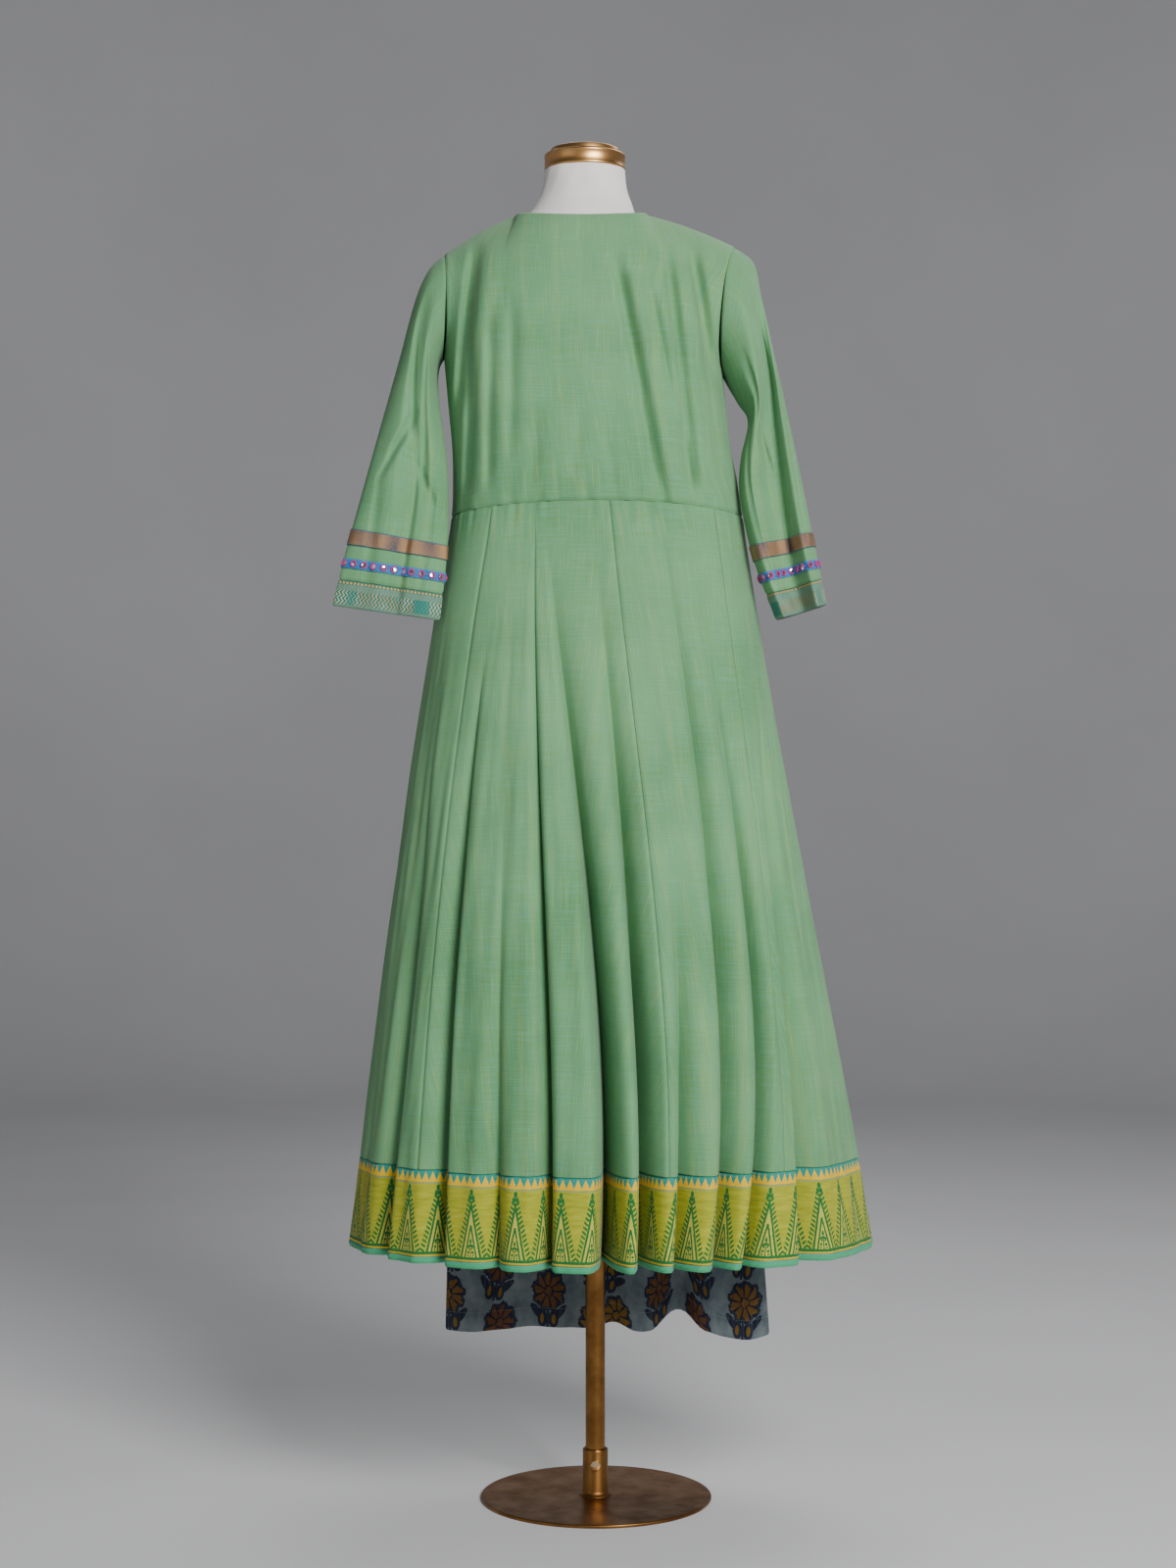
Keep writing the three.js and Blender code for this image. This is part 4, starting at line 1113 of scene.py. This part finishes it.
brocadeLook = {
    "night": paint(30, 48, 78),
    "gold": paint(196, 142, 62),
    "dull": paint(112, 104, 100),
    "edge": paint(24, 84, 128),
    "middle": 0.00935,  # half the band's width
}


def brocadeRibbon():
    look = brocadeLook
    cloth = Finish("brocadeRibbon", 0.4, 0.35, Specular_IOR_Level=0.5)
    u, v = cloth.cloth()
    cloth.weave(u, v, 0.0005, 0.00018, 0.4)
    zari = cloth.streaks(u, v, 700, 900, 0, 2, 0.6)
    patch = cloth.streaks(u, v, 28, 9, 3.0)
    share = cloth.range(cloth.timesPlus(patch, 1.6, zari), 1.08, 1.52, 0.0, 1.0)
    tone = cloth.mix(share, look["night"], look["gold"])
    dull = cloth.times(cloth.range(zari, 0.35, 0.6), cloth.range(patch, 0.36, 0.56, 0.05, 0.7))
    tone = cloth.mix(dull, tone, look["dull"])
    middle = cloth.calc("ABSOLUTE", cloth.minus(v, look["middle"]))
    scallop = cloth.times(cloth.zigzag(u, 0.0014), 0.8)
    edge = cloth.beyond(cloth.plus(middle, scallop), 0.0090)
    return cloth.color(cloth.mix(edge, tone, look["edge"]))


tapeLook = {
    "dark": paint(0, 90, 156),
    "light": paint(0, 118, 182),
    "edge": paint(92, 160, 190),
    "middle": 0.00575,  # half the tape's width
}


def mirrorTape():
    look = tapeLook
    cloth = Finish("mirrorTape", 0.6, Sheen_Weight=0.1)
    u, v = cloth.cloth()
    across, _ = cloth.weave(u, v, 0.0005, 0.00016)
    tone = cloth.mix(cloth.range(across, 0.3, 0.7), look["dark"], look["light"])
    side = cloth.calc("ABSOLUTE", cloth.minus(v, look["middle"]))
    beat = cloth.below(cloth.zigzag(u, 0.0015), 0.0009)
    tone = cloth.mix(cloth.both(cloth.within(side, 0.0049, 0.0054), beat), tone, look["edge"])
    return cloth.color(tone)


# All colours of the pants are painted darker than the cloth's own: painted shadow of the skirt over the
# pants.
shadedPantsLook = {
    "ground": paint(122, 134, 136),
    "shade": paint(84, 98, 108),
    "indigo": paint(16, 22, 50),
    "mustard": paint(128, 96, 24),
    "rust": paint(100, 62, 28),
    "motif": 1.28,  # how much larger than drawn below
    "petals": 9,
    "rimWave": (0.0011, 0.0172),  # how far the flower's rim waves, and its radius
    "petalWave": (0.0016, 0.0138),
    "heart": (0.0034, 0.0048),
    # Ovals: middle across and up, half-width and half-height.
    "sideLeaf": (0.0215, -0.0150, 0.0050, 0.0088),
    "lowLeaf": (0.0055, -0.0205, 0.0050, 0.0085),
    "leafHeart": (0.0058, -0.0205, 0.0020, 0.0048),
    "stemHalf": 0.0012,
    "stem": (-0.032, -0.010),
    "stepU": 0.066,
    "stepV": 0.074,
}


# Scattered block-printed flowers in half-drop rows, each on leaves and turned a little its own way.
def shadedPantsPrint():
    look = shadedPantsLook
    cloth = Finish("shadedPantsPrint", 0.8, Sheen_Weight=0.08, Specular_IOR_Level=0.3)
    u, v = cloth.cloth()
    _, upright = cloth.weave(u, v, 0.00065, 0.00015)
    blur = cloth.streaks(u, v, 260, 260, 0, 3)
    bleed = cloth.range(blur, 0.3, 0.7, -0.0012, 0.0012)
    column = cloth.calc("FLOOR", cloth.over(u, look["stepU"]))
    odd = cloth.times(cloth.calc("FRACT", cloth.times(column, 0.5)), look["stepV"])
    dropped = cloth.plus(v, odd)
    row = cloth.calc("FLOOR", cloth.over(dropped, look["stepV"]))
    x = cloth.minus(cloth.minus(u, cloth.times(column, look["stepU"])), look["stepU"] / 2)
    y = cloth.minus(cloth.minus(dropped, cloth.times(row, look["stepV"])), look["stepV"] / 2)
    x, y = cloth.over(x, look["motif"]), cloth.over(y, look["motif"])
    chance = cloth.chance(cloth.pair(column, row, 3.0))
    turn = cloth.range(chance, 0, 1, -0.35, 0.35)
    sine, cosine = cloth.calc("SINE", turn), cloth.calc("COSINE", turn)
    turnedX = cloth.minus(cloth.times(x, cosine), cloth.times(y, sine))
    turnedY = cloth.plus(cloth.times(x, sine), cloth.times(y, cosine))
    flowerY = cloth.over(cloth.minus(turnedY, 0.007), 1.18)
    square = cloth.plus(cloth.times(turnedX, turnedX), cloth.times(flowerY, flowerY))
    radius = cloth.plus(cloth.calc("SQRT", square), bleed)
    angle = cloth.calc("ARCTAN2", turnedX, flowerY)
    scallop = cloth.calc("COSINE", cloth.times(angle, look["petals"]))
    outline = cloth.below(radius, cloth.timesPlus(scallop, *look["rimWave"]))
    bloom = cloth.below(radius, cloth.timesPlus(scallop, *look["petalWave"]))
    ripple = cloth.calc("SINE", cloth.times(angle, look["petals"]))
    veins = cloth.both(cloth.beyond(ripple, 0.72), cloth.beyond(radius, 0.0045))
    heart = cloth.within(radius, *look["heart"])
    mirrored = cloth.calc("ABSOLUTE", turnedX)
    leaves = cloth.join(
        cloth.oval(cloth.timesPlus(turnedY, -0.75, mirrored), turnedY, *look["sideLeaf"]),
        cloth.oval(mirrored, turnedY, *look["lowLeaf"]),
        cloth.both(cloth.below(mirrored, look["stemHalf"]), cloth.within(turnedY, *look["stem"])),
    )
    leafHearts = cloth.oval(mirrored, turnedY, *look["leafHeart"])
    faint = cloth.streaks(u, v, 45, 30, 1.0, 4, 0.6)
    # The ground and print colours mixed here carry the painted shadow of the skirt.
    tone = cloth.mix(cloth.range(faint, 0.35, 0.65), look["shade"], look["ground"])
    worn = cloth.range(upright, 0.3, 0.6, 0.75, 1.0)
    petalTone = cloth.mix(cloth.range(cloth.plus(chance, blur), 0.7, 1.1), look["mustard"], look["rust"])
    tone = cloth.mix(cloth.times(cloth.join(leaves, outline), worn), tone, look["indigo"])
    tone = cloth.mix(cloth.times(bloom, worn), tone, petalTone)
    tone = cloth.mix(cloth.both(bloom, cloth.join(veins, heart)), tone, look["indigo"])
    tone = cloth.mix(cloth.times(leafHearts, worn), tone, look["mustard"])
    return cloth.color(tone)


formLook = {"shade": paint(222, 216, 212), "light": paint(234, 229, 225)}


def formCover():
    cloth = Finish("formCover", 0.85, Sheen_Weight=0.3, Specular_IOR_Level=0.25)
    u, v = cloth.cloth()
    cloth.weave(u, v, 0.0007, 0.00014)
    broad = cloth.noise(cloth.place(), 14, 3)
    tone = cloth.mix(cloth.range(broad, 0.35, 0.65), formLook["shade"], formLook["light"])
    return cloth.color(tone)


def metalFinish(name, light, dark, roughness, scale):
    metal = Finish(name, roughness, 1.0)
    broad = metal.noise(metal.place(), scale, 4, 0.6)
    fine = metal.noise(metal.place(), scale * 14, 3)
    tone = metal.mix(metal.range(broad, 0.35, 0.68), light, dark)
    gloss = metal.range(broad, 0.3, 0.7, roughness * 0.8, roughness * 1.35)
    metal.feed(metal.shader.inputs["Roughness"], gloss)
    metal.bump(fine, 0.00004)
    return metal.color(tone)


def threadFinish(name, color):
    thread = Finish(name, 0.65, Sheen_Weight=0.2)
    strand = thread.noise(thread.place(), 1800, 2)
    thread.bump(strand, 0.00008)
    dark = tuple(value * 0.72 for value in color[:3]) + (1.0,)
    return thread.color(thread.mix(thread.range(strand, 0.35, 0.65), dark, color))


finishes = {
    "green": shotCotton(),
    "hem": hemPrint(),
    "binding": hemBinding(),
    "cuff": cuffPrint(),
    "brocade": brocadeRibbon(),
    "tape": mirrorTape(),
    "pants": shadedPantsPrint(),
    "form": formCover(),
    "brass": metalFinish("capBrass", paint(214, 166, 108), paint(188, 138, 84), 0.32, 12),
    "bronze": metalFinish("standBronze", paint(150, 108, 58), paint(108, 72, 36), 0.36, 24),
    "steel": metalFinish("boltSteel", paint(214, 190, 150), paint(170, 146, 110), 0.32, 60),
    "mirror": metalFinish("smallMirror", paint(226, 230, 232), paint(180, 186, 190), 0.08, 60),
    "greenThread": threadFinish("greenThread", paint(96, 142, 100)),
    "paleThread": threadFinish("paleThread", paint(176, 176, 140)),
    "pinkThread": threadFinish("pinkThread", paint(178, 24, 120)),
    "goldThread": threadFinish("goldThread", paint(204, 168, 84)),
}
print("finishes mixed:", len(finishes))


# Dress form and stand

standCut = {
    "baseRadius": 141.5,
    "baseTop": 4.3,
    "poleRadius": 12,
    "poleX": -1,
    "poleLength": 875.4,
    "formBottom": 880,
    "formTop": 1630.7,
    "collarRadius": 15.5,
    "collarTop": 61,
    "boltLevel": 43.5,
    "capX": -14,
    "capRadius": 49.5,
    "capFoot": 1631,
}


def closeForm():
    bearings = np.linspace(0, 360, 120, endpoint=False)
    bottom, top = standCut["formBottom"], standCut["formTop"]
    levels = np.concatenate([
        np.linspace(bottom, bottom + 10, 5),
        np.linspace(bottom + 17, 1500, 62),
        np.linspace(1504, top, 44),  # closer rows where the shoulders turn in
    ])
    a, b = np.meshgrid(bearings, levels)
    place = formSurface(a, b)
    rows, columns = a.shape
    vertices = place.reshape(-1, 3).tolist()
    faces = ringFaces(rows, columns)
    stepU = 0.0054  # metres of cloth from one bearing to the next
    uvs = []
    for low, high in zip(levels * metre, levels[1:] * metre):
        for j in range(columns):
            left, right = j * stepU, (j + 1) * stepU
            uvs += [(left, low), (right, low), (right, high), (left, high)]
    for start, order in ((0, -1), (len(vertices) - columns, 1)):
        vertices.append(list(np.mean(place[0 if order < 0 else -1], axis=0)))
        hub = len(vertices) - 1
        for j in range(columns):
            pair = (start + j, start + (j + 1) % columns)
            faces.append([hub, *(pair if order > 0 else pair[::-1])])
            uvs += [(0.0, 0.0), (0.003, 0.0), (0.0, 0.003)]
    return makeMesh("dress_form", vertices, faces, finishes["form"], ("form_torso",), uvs)


# Each profile is a line of radius and height that runs from the underside outwards and up.
def raiseStand():
    bronze = (finishes["bronze"], "stand_bronze")
    base = standCut["baseRadius"]
    rim = [(0, 0), (base - 1.2, 0), (base - 0.5, 0.2), (base, 0.9), (base, 3.0), (base - 0.4, 3.6)]
    disc = rim + [(base - 1.2, 4), (base - 3, 4), (base * 0.6, 4), (base * 0.3, 4), (0, 4)]
    turnPiece("base_plate", disc, (0, 0, 0), *bronze, ("base_disc",), 160)
    radius, length = standCut["poleRadius"], standCut["poleLength"]
    foot = (standCut["poleX"], 0, standCut["baseTop"])
    tube = [(0, 0), (radius, 0)] + [(radius, height) for height in range(60, 860, 80)]
    turnPiece("stand_pole", tube + [(radius, length), (0, length)], foot, *bronze, ("pole",), 64)
    outer = standCut["collarRadius"]
    top = standCut["collarTop"] - standCut["baseTop"]
    weld = [(radius + 0.3, 0), (outer + 5, 0), (outer + 4.6, 0.8), (outer + 3.0, 1.5), (outer + 2.2, 2.3)]
    sleeve = [(outer + 0.9, 3.6), (outer, 6), (outer, top - 1.5), (outer - 0.4, top - 0.5)]
    bore = [(outer - 1.2, top), (radius + 0.8, top), (radius + 0.3, top - 0.5), (radius + 0.3, 0)]
    turnPiece("stand_collar", weld + sleeve + bore, foot, *bronze, ("base_collar",), 64)
    cap = standCut["capRadius"]
    drum = [(0, 0), (cap - 0.6, 0), (cap - 0.1, 0.3), (cap + 0.3, 1), (cap + 0.3, 2.2), (cap, 2.6)]
    lid = [(cap, 15.6), (cap + 0.3, 16), (cap + 0.3, 17.2), (cap - 0.2, 18.2), (cap - 1.5, 18.9)]
    step = [(cap - 4, 19.1), (cap - 6, 19.4), (cap - 6.6, 20), (cap - 6.9, 21), (cap - 7.4, 24.6)]
    plate = [(cap - 7.9, 25.5), (cap - 9, 26), (cap - 20, 26), (0, 26)]
    crown = (standCut["capX"], 0, standCut["capFoot"])
    profile = drum + lid + step + plate
    turnPiece("form_cap", profile, crown, finishes["brass"], "cap_brass", ("neck_cap",), 128)
    turnBolt()


# The collar's clamping bolt: a hexagon head with a domed face, and its shank.
def turnBolt():
    circle, hexagon = 24, 6
    rings = [
        (3.6, 2.6, circle),
        (3.6, -0.3, circle),
        (5.2, -0.3, hexagon),
        (6.4, -0.6, hexagon),
        (6.5, -1.0, hexagon),
        (6.5, -4.4, hexagon),
        (6.2, -4.9, hexagon),
        (4.6, -5.3, hexagon),
    ]
    sides = circle
    vertices = []
    for radius, out, corners in rings:
        y = out - standCut["collarRadius"]
        for k in range(sides):
            turn = 2 * math.pi * k / sides
            reach = radius
            if corners == hexagon:
                bend = (turn % (math.pi / 3)) - math.pi / 6
                reach = radius * math.cos(math.pi / 6) / math.cos(bend)
            x = standCut["poleX"] + reach * math.cos(turn)
            vertices.append((x, y, standCut["boltLevel"] + reach * math.sin(turn)))
    faces = ringFaces(len(rings), sides)
    faces.append(list(range(sides))[::-1])
    last = (len(rings) - 1) * sides
    faces.append([last + k for k in range(sides)])
    bolt = makeMesh("clamp_bolt", vertices, faces, finishes["steel"], ("collar_bolt",))
    bolt.data.set_sharp_from_angle(angle=math.radians(30))


closeForm()
raiseStand()
print("dress form stands")


# Kurti

across = seamSteps(-1, 1, 131, 0.03)
ups = np.unique(np.concatenate([
    seamSteps(0.0008, 1, 62, 0.03, atHigh=False),
    seamSteps(1, 2, 56, 0.04, atLow=False),
]))


def sewBodice(side, face):
    return sewShell(
        f"kurti_bodice_{side}", bodiceSurface(face), across, ups, finishes["green"],
        (f"bodice_{side}",), face, tuck=("start", "end", "bottom", "top"), lift=clothCut["thick"],
    )


bodiceBack, bodiceFront = sewBodice("back", 1), sewBodice("front", -1)
print("bodice sewn")

borderTop, bindingTop = clothCut["borderTop"], clothCut["bindingTop"]
levels = np.unique(np.concatenate([
    clothCut["waistLevel"] - clothCut["seamGap"] / 2 - np.array([0, 0.8, 1.8, 3, 5, 8, 12, 17, 23, 30]),
    np.linspace(1166, borderTop + 6, 56),  # evenly down the skirt, below the gathers
    borderTop + clothCut["seamGap"] + edgeRows,
]))[::-1]
for name, start, end in zip(skirtPanels["name"], skirtPanels["from"], skirtPanels["to"]):
    edges = seamSteps(start + 0.035, end - 0.035, 2, 1.6 / (end - start))
    inner = foldSteps(start + 1.7, end - 1.7)
    columns = np.unique(np.concatenate([edges, inner]))
    sewShell(
        f"kurti_{name}", skirtPoint, columns, levels, finishes["green"],
        (str(name),), -1, tuck=("start", "end", "bottom"), lift=clothCut["thick"],
    )
skirtStart, skirtEnd = skirtPanels["from"][0], skirtPanels["to"][-1]
ringColumns = foldSteps(skirtStart, skirtEnd)[:-1]
borderLevels = np.concatenate([
    borderTop - np.array([0, 0.8, 2, 4]),
    np.linspace(borderTop - 8, bindingTop + 2.5, 15),
    [bindingTop + clothCut["seamGap"]],
])[::-1]
hemBorder = sewShell(
    "kurti_hem_border", skirtPoint, ringColumns, borderLevels, finishes["hem"],
    ("hem_border",), 1, ring=True, tuck=("top",), lift=clothCut["thick"], straight=True,
)
bindingLevels = np.linspace(clothCut["hemLevel"] + clothCut["seamGap"], bindingTop, 9)
hemEdge = sewShell(
    "kurti_hem_binding", skirtPoint, ringColumns, bindingLevels, finishes["binding"],
    ("hem_binding",), 1, ring=True, thick=clothCut["bindingThick"], lift=clothCut["bindingLift"],
    tuck=("top", "bottom"), straight=True,
)
print("skirt sewn")


# Sleeves with their bands

cuffBands = {
    "border": 32.0,
    "tapeFrom": 46.5,
    "tapeTo": 58.0,
    "brocadeFrom": 74.0,
    "brocadeTo": 92.7,
    "lift": 1.35,
    "thick": 0.7,
    "mirrorPitch": 12.4,
    "mirrorRadius": 2.9,
    "ringRadius": 3.35,
    "threadRadius": 0.95,
}


def sleeveParts(sleeve, label):
    length = sleeve["rows"]["down"][-1]
    angles = np.linspace(0, 360, 192, endpoint=False)
    cuffLine = length - cuffBands["border"]
    downs = np.unique(np.concatenate([
        [0, 0.7, 1.6, 2.8, 4.5, 7],
        np.linspace(10, cuffLine - 5, 92),
        cuffLine - clothCut["seamGap"] - edgeRows,
    ]))
    sense = sleeve["side"]
    surface = setSleevePoint(sleeve)
    tube = sewShell(
        f"kurti_sleeve_{label}", surface, angles, downs, finishes["green"],
        (f"sleeve_{label}",), sense, ring=True, tuck=("bottom", "top"),
    )
    border = sewShell(
        f"kurti_cuff_border_{label}", surface, angles, np.linspace(length, cuffLine, 18),
        finishes["cuff"],
        (f"cuff_border_{label}",), -sense, ring=True, tuck=("bottom", "top"), straight=True,
    )
    lifted = setSleevePoint(sleeve, cuffBands["lift"])

    def sewBand(kind, node, rows):
        low, high = cuffBands[kind + "From"], cuffBands[kind + "To"]
        return sewShell(
            f"{kind}_{label}", lifted, angles, np.linspace(length - low, length - high, rows),
            finishes[kind],
            (f"{node}_{label}",), -sense, ring=True, thick=cuffBands["thick"], straight=True,
        )

    brocade = sewBand("brocade", "brocade_band", 12)
    tape = sewBand("tape", "mirror_tape", 9)
    middle = length - (cuffBands["tapeFrom"] + cuffBands["tapeTo"]) / 2
    fine = np.linspace(0, 360, 721)
    run = runLengths(lifted(fine, np.full(721, middle))[None], 1)[0]
    count = int(run[-1] // cuffBands["mirrorPitch"])
    spots = np.interp((np.arange(count) + 0.5) * run[-1] / count, run, fine)
    place, alongA, normal = frameAt(lifted, spots, np.full(count, middle), sense, 1, 0.5)
    mirrors = setMirrors(f"mirrors_{label}", place, alongA, normal)
    rings = windRings(f"mirror_rings_{label}", place, alongA, normal)
    return tube, border, brocade, tape, mirrors, rings


def setMirrors(name, place, along, normal):
    vertices, faces = [], []
    sides = 14
    for number, (spot, right, out) in enumerate(zip(place, along, normal)):
        up = np.cross(out, right)
        base = len(vertices)
        tiltRight, tiltUp = 0.11 * math.sin(number * 2.4 + 0.6), 0.11 * math.sin(number * 1.7 + 2.1)
        full, seated = cuffBands["mirrorRadius"], 0.1
        for height, radius in ((seated, full), (0.75, full), (0.85, full - 0.3)):
            for k in range(sides):
                turn = 2 * math.pi * k / sides
                cosine, sine = math.cos(turn), math.sin(turn)
                tilt = radius * (tiltRight * cosine + tiltUp * sine) if height > seated else 0
                spoke = right * cosine + up * sine
                vertices.append(spot + out * (height + tilt) + spoke * radius)
        faces += ringFaces(3, sides, base)
        faces.append([base + 2 * sides + k for k in range(sides)])
        faces.append([base + k for k in range(sides)][::-1])
    piece = makeMesh(name, vertices, faces, finishes["mirror"])
    piece.data.set_sharp_from_angle(angle=math.radians(25))
    return piece


# Thread wound round each mirror, as a knobbly ring of overlapping stitches.
def windRings(name, place, along, normal):
    vertices, faces = [], []
    turns, sides = 26, 6
    for spot, right, out in zip(place, along, normal):
        up = np.cross(out, right)
        base = len(vertices)
        for i in range(turns):
            turn = 2 * math.pi * i / turns
            spoke = right * math.cos(turn) + up * math.sin(turn)
            fat = cuffBands["threadRadius"] * (1.18 if i % 2 else 0.86)
            for k in range(sides):
                swing = 2 * math.pi * k / sides
                reach = cuffBands["ringRadius"] + fat * math.cos(swing)
                vertices.append(spot + spoke * reach + out * (0.75 + fat * math.sin(swing)))
        for i in range(turns):
            low, high = base + i * sides, base + (i + 1) % turns * sides
            for k in range(sides):
                n = (k + 1) % sides
                faces.append([low + k, low + n, high + n, high + k])
    return makeMesh(name, vertices, faces, finishes["pinkThread"])


leftParts = sleeveParts(leftSleeve, "left")
rightParts = sleeveParts(rightSleeve, "right")
print("sleeves set in")


# Pants

legColumns = seamSteps(0, 1, 56, 0.05)
legLevels = np.unique(np.concatenate([
    pantsCut["bandBottom"] - clothCut["seamGap"] - np.array([0, 0.8, 1.8, 3, 5]),
    np.linspace(1080, pantsCut["hem"] + 4, 92),
    pantsCut["hem"] + np.array([0, 0.7, 1.6, 2.8]),
]))
for label, leg in (("left", -1), ("right", 1)):
    for side, face in (("back", 1), ("front", -1)):
        sewShell(
            f"pants_{label}_{side}_panel", legSurface(leg, face), legColumns, legLevels,
            finishes["pants"],
            (f"pants_{label}_{side}",), -leg * face, tuck=("bottom", "top"), lift=clothCut["thick"],
        )
bandAngles = np.linspace(0, 360, 160, endpoint=False)
bandLevels = np.linspace(pantsCut["top"], pantsCut["bandBottom"], 12)
waistband = sewShell(
    "pants_band", waistbandSurface, bandAngles, bandLevels, finishes["pants"],
    ("pants_waistband",), -1, ring=True, tuck=("bottom", "top"), lift=clothCut["thick"],
)
print("pants sewn")


# Stitching

topStitch = {"length": 2.6, "gap": 0.7, "wide": 0.55, "high": 0.32}


# Points and outward directions of a line that runs along a at one b.
def lineOn(surface, a, b, sense, stepA, stepB, lift):
    place, _, normal = frameAt(surface, a, np.full(len(a), float(b)), sense, stepA, stepB)
    return place + normal * lift, normal


def bodiceLines(reach, up, count):
    run = np.linspace(-reach, reach, count)
    return [lineOn(bodiceSurface(face), run, up, face, 0.002, 0.002, clothCut["thick"]) for face in (1, -1)]


def hemLine(level, lift):
    return [lineOn(skirtPoint, np.linspace(skirtStart, skirtEnd, 3200), level, 1, 0.05, 0.5, lift)]


neckStitches = sewStitches(
    "neck_stitching", bodiceLines(0.488, 1.968, 500) + bodiceLines(0.985, 0.020, 700), topStitch,
    finishes["greenThread"],
)
hemStitches = sewStitches(
    "hem_stitching", hemLine(borderTop - 3.4, clothCut["thick"]), topStitch,
    finishes["paleThread"],
)
bindingStitches = sewStitches(
    "binding_stitching", hemLine(bindingTop - 2, clothCut["bindingLift"]), topStitch,
    finishes["greenThread"],
)
cuffStitches = []
for sleeve, label in ((leftSleeve, "left"), (rightSleeve, "right")):
    length = sleeve["rows"]["down"][-1]
    around = np.linspace(0, 360, 900)
    lines = [
        lineOn(setSleevePoint(sleeve, lift), around, length - up, sleeve["side"], 1, 0.5, 0.05)
        for up, lift in (
            (cuffBands["brocadeFrom"] + 1, cuffBands["lift"]),
            (cuffBands["brocadeTo"] - 1, cuffBands["lift"]),
            (cuffBands["border"] - 1.2, 0),
        )
    ]
    cuffStitches.append(sewStitches(
        f"cuff_stitching_{label}", lines, topStitch, finishes["goldThread"],
    ))
legRun = np.linspace(0.02, 0.98, 600)
stitchLevel = pantsCut["hem"] + pantsCut["stitchUp"]
pantsLines = [
    lineOn(legSurface(leg, face), legRun, stitchLevel, -leg * face, 0.002, 0.5, clothCut["thick"] + 0.05)
    for leg in (-1, 1)
    for face in (1, -1)
]
pantsStitches = sewStitches("pants_stitching", pantsLines, topStitch, finishes["paleThread"])
print("stitching done")


sleeveSets = zip(("left", "right"), (leftParts, rightParts), cuffStitches)
for label, (tube, border, brocade, tape, mirrors, rings), stitches in sleeveSets:
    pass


# Floor, light and camera

studio = {
    "floor": paint(206, 206, 208),
    "floorReach": 4.2,  # metres, as all sizes here: the floor is flat up to this radius
    "bend": 1.6,  # radius of the floor's turned-up rim
    "wallTop": 5.0,
    "lamps": {
        "key": {"place": (1.5, -3.0, 2.4), "aim": (0, 0, 0.9), "power": 200, "size": (1.5, 2.0)},
        "fill": {"place": (-2.6, -2.4, 1.7), "aim": (0, 0, 0.9), "power": 10, "size": (2.2, 2.2)},
        "rim": {"place": (0.6, 1.7, 3.1), "aim": (0, 0, 1.0), "power": 34, "size": (2.4, 1.2)},
    },
    "air": (0.78, 0.8, 0.83, 1),
    "sky": 0.085,
    "cameraPlace": (-0.010, -3.322, 0.877),
    "lens": 62.03,
    "sensor": 36,
}


def layFloor():
    cloth = Finish("studioFloor", 0.9, Specular_IOR_Level=0.2)
    broad = cloth.noise(cloth.place(), 1.5, 2)
    light = studio["floor"]
    dark = tuple(value * 0.94 for value in light[:3]) + (1.0,)
    floor = cloth.color(cloth.mix(cloth.range(broad, 0.3, 0.7), light, dark))
    vertices = []
    reach, bend = studio["floorReach"], studio["bend"]
    turns = np.linspace(0.12, math.pi / 2, 14)
    profile = [(flat, 0.0) for flat in (0.02, 0.5, 1.5, 3.0, reach)]
    profile += [(reach + bend * math.sin(t), bend - bend * math.cos(t)) for t in turns]
    profile += [(reach + bend, 2 * bend), (reach + bend, studio["wallTop"])]
    sides = 96
    for radius, z in profile:
        for k in range(sides):
            turn = 2 * math.pi * k / sides
            vertices.append((radius * math.cos(turn), radius * math.sin(turn), z))
    faces = ringFaces(len(profile), sides)
    faces.append(list(range(sides))[::-1])
    mesh = bpy.data.meshes.new("studio_sweep")
    mesh.from_pydata(vertices, [], faces)
    mesh.polygons.foreach_set("use_smooth", [True] * len(mesh.polygons))
    mesh.materials.append(floor)
    sweep = bpy.data.objects.new("studio_sweep", mesh)
    bpy.context.scene.collection.objects.link(sweep)


def addLight(name, place, aim, power, size):
    light = bpy.data.lights.new(name, "AREA")
    light.energy = power
    light.shape = "RECTANGLE"
    light.size, light.size_y = size
    lamp = bpy.data.objects.new(name, light)
    lamp.location = place
    direction = mathutils.Vector(aim) - mathutils.Vector(place)
    lamp.rotation_euler = direction.to_track_quat("-Z", "Y").to_euler()
    bpy.context.scene.collection.objects.link(lamp)


layFloor()
for name, lamp in studio["lamps"].items():
    addLight(name, **lamp)
world = bpy.data.worlds.new("studioAir")
world.use_nodes = True
world.node_tree.nodes["Background"].inputs[0].default_value = studio["air"]
world.node_tree.nodes["Background"].inputs[1].default_value = studio["sky"]
bpy.context.scene.world = world

lens = bpy.data.cameras.new("camera")
lens.sensor_width = studio["sensor"]
lens.lens = studio["lens"]
camera = bpy.data.objects.new("camera", lens)
camera.location = studio["cameraPlace"]
camera.rotation_euler = (math.radians(90), 0, 0)
bpy.context.scene.collection.objects.link(camera)
bpy.context.scene.camera = camera
print("studio lit")
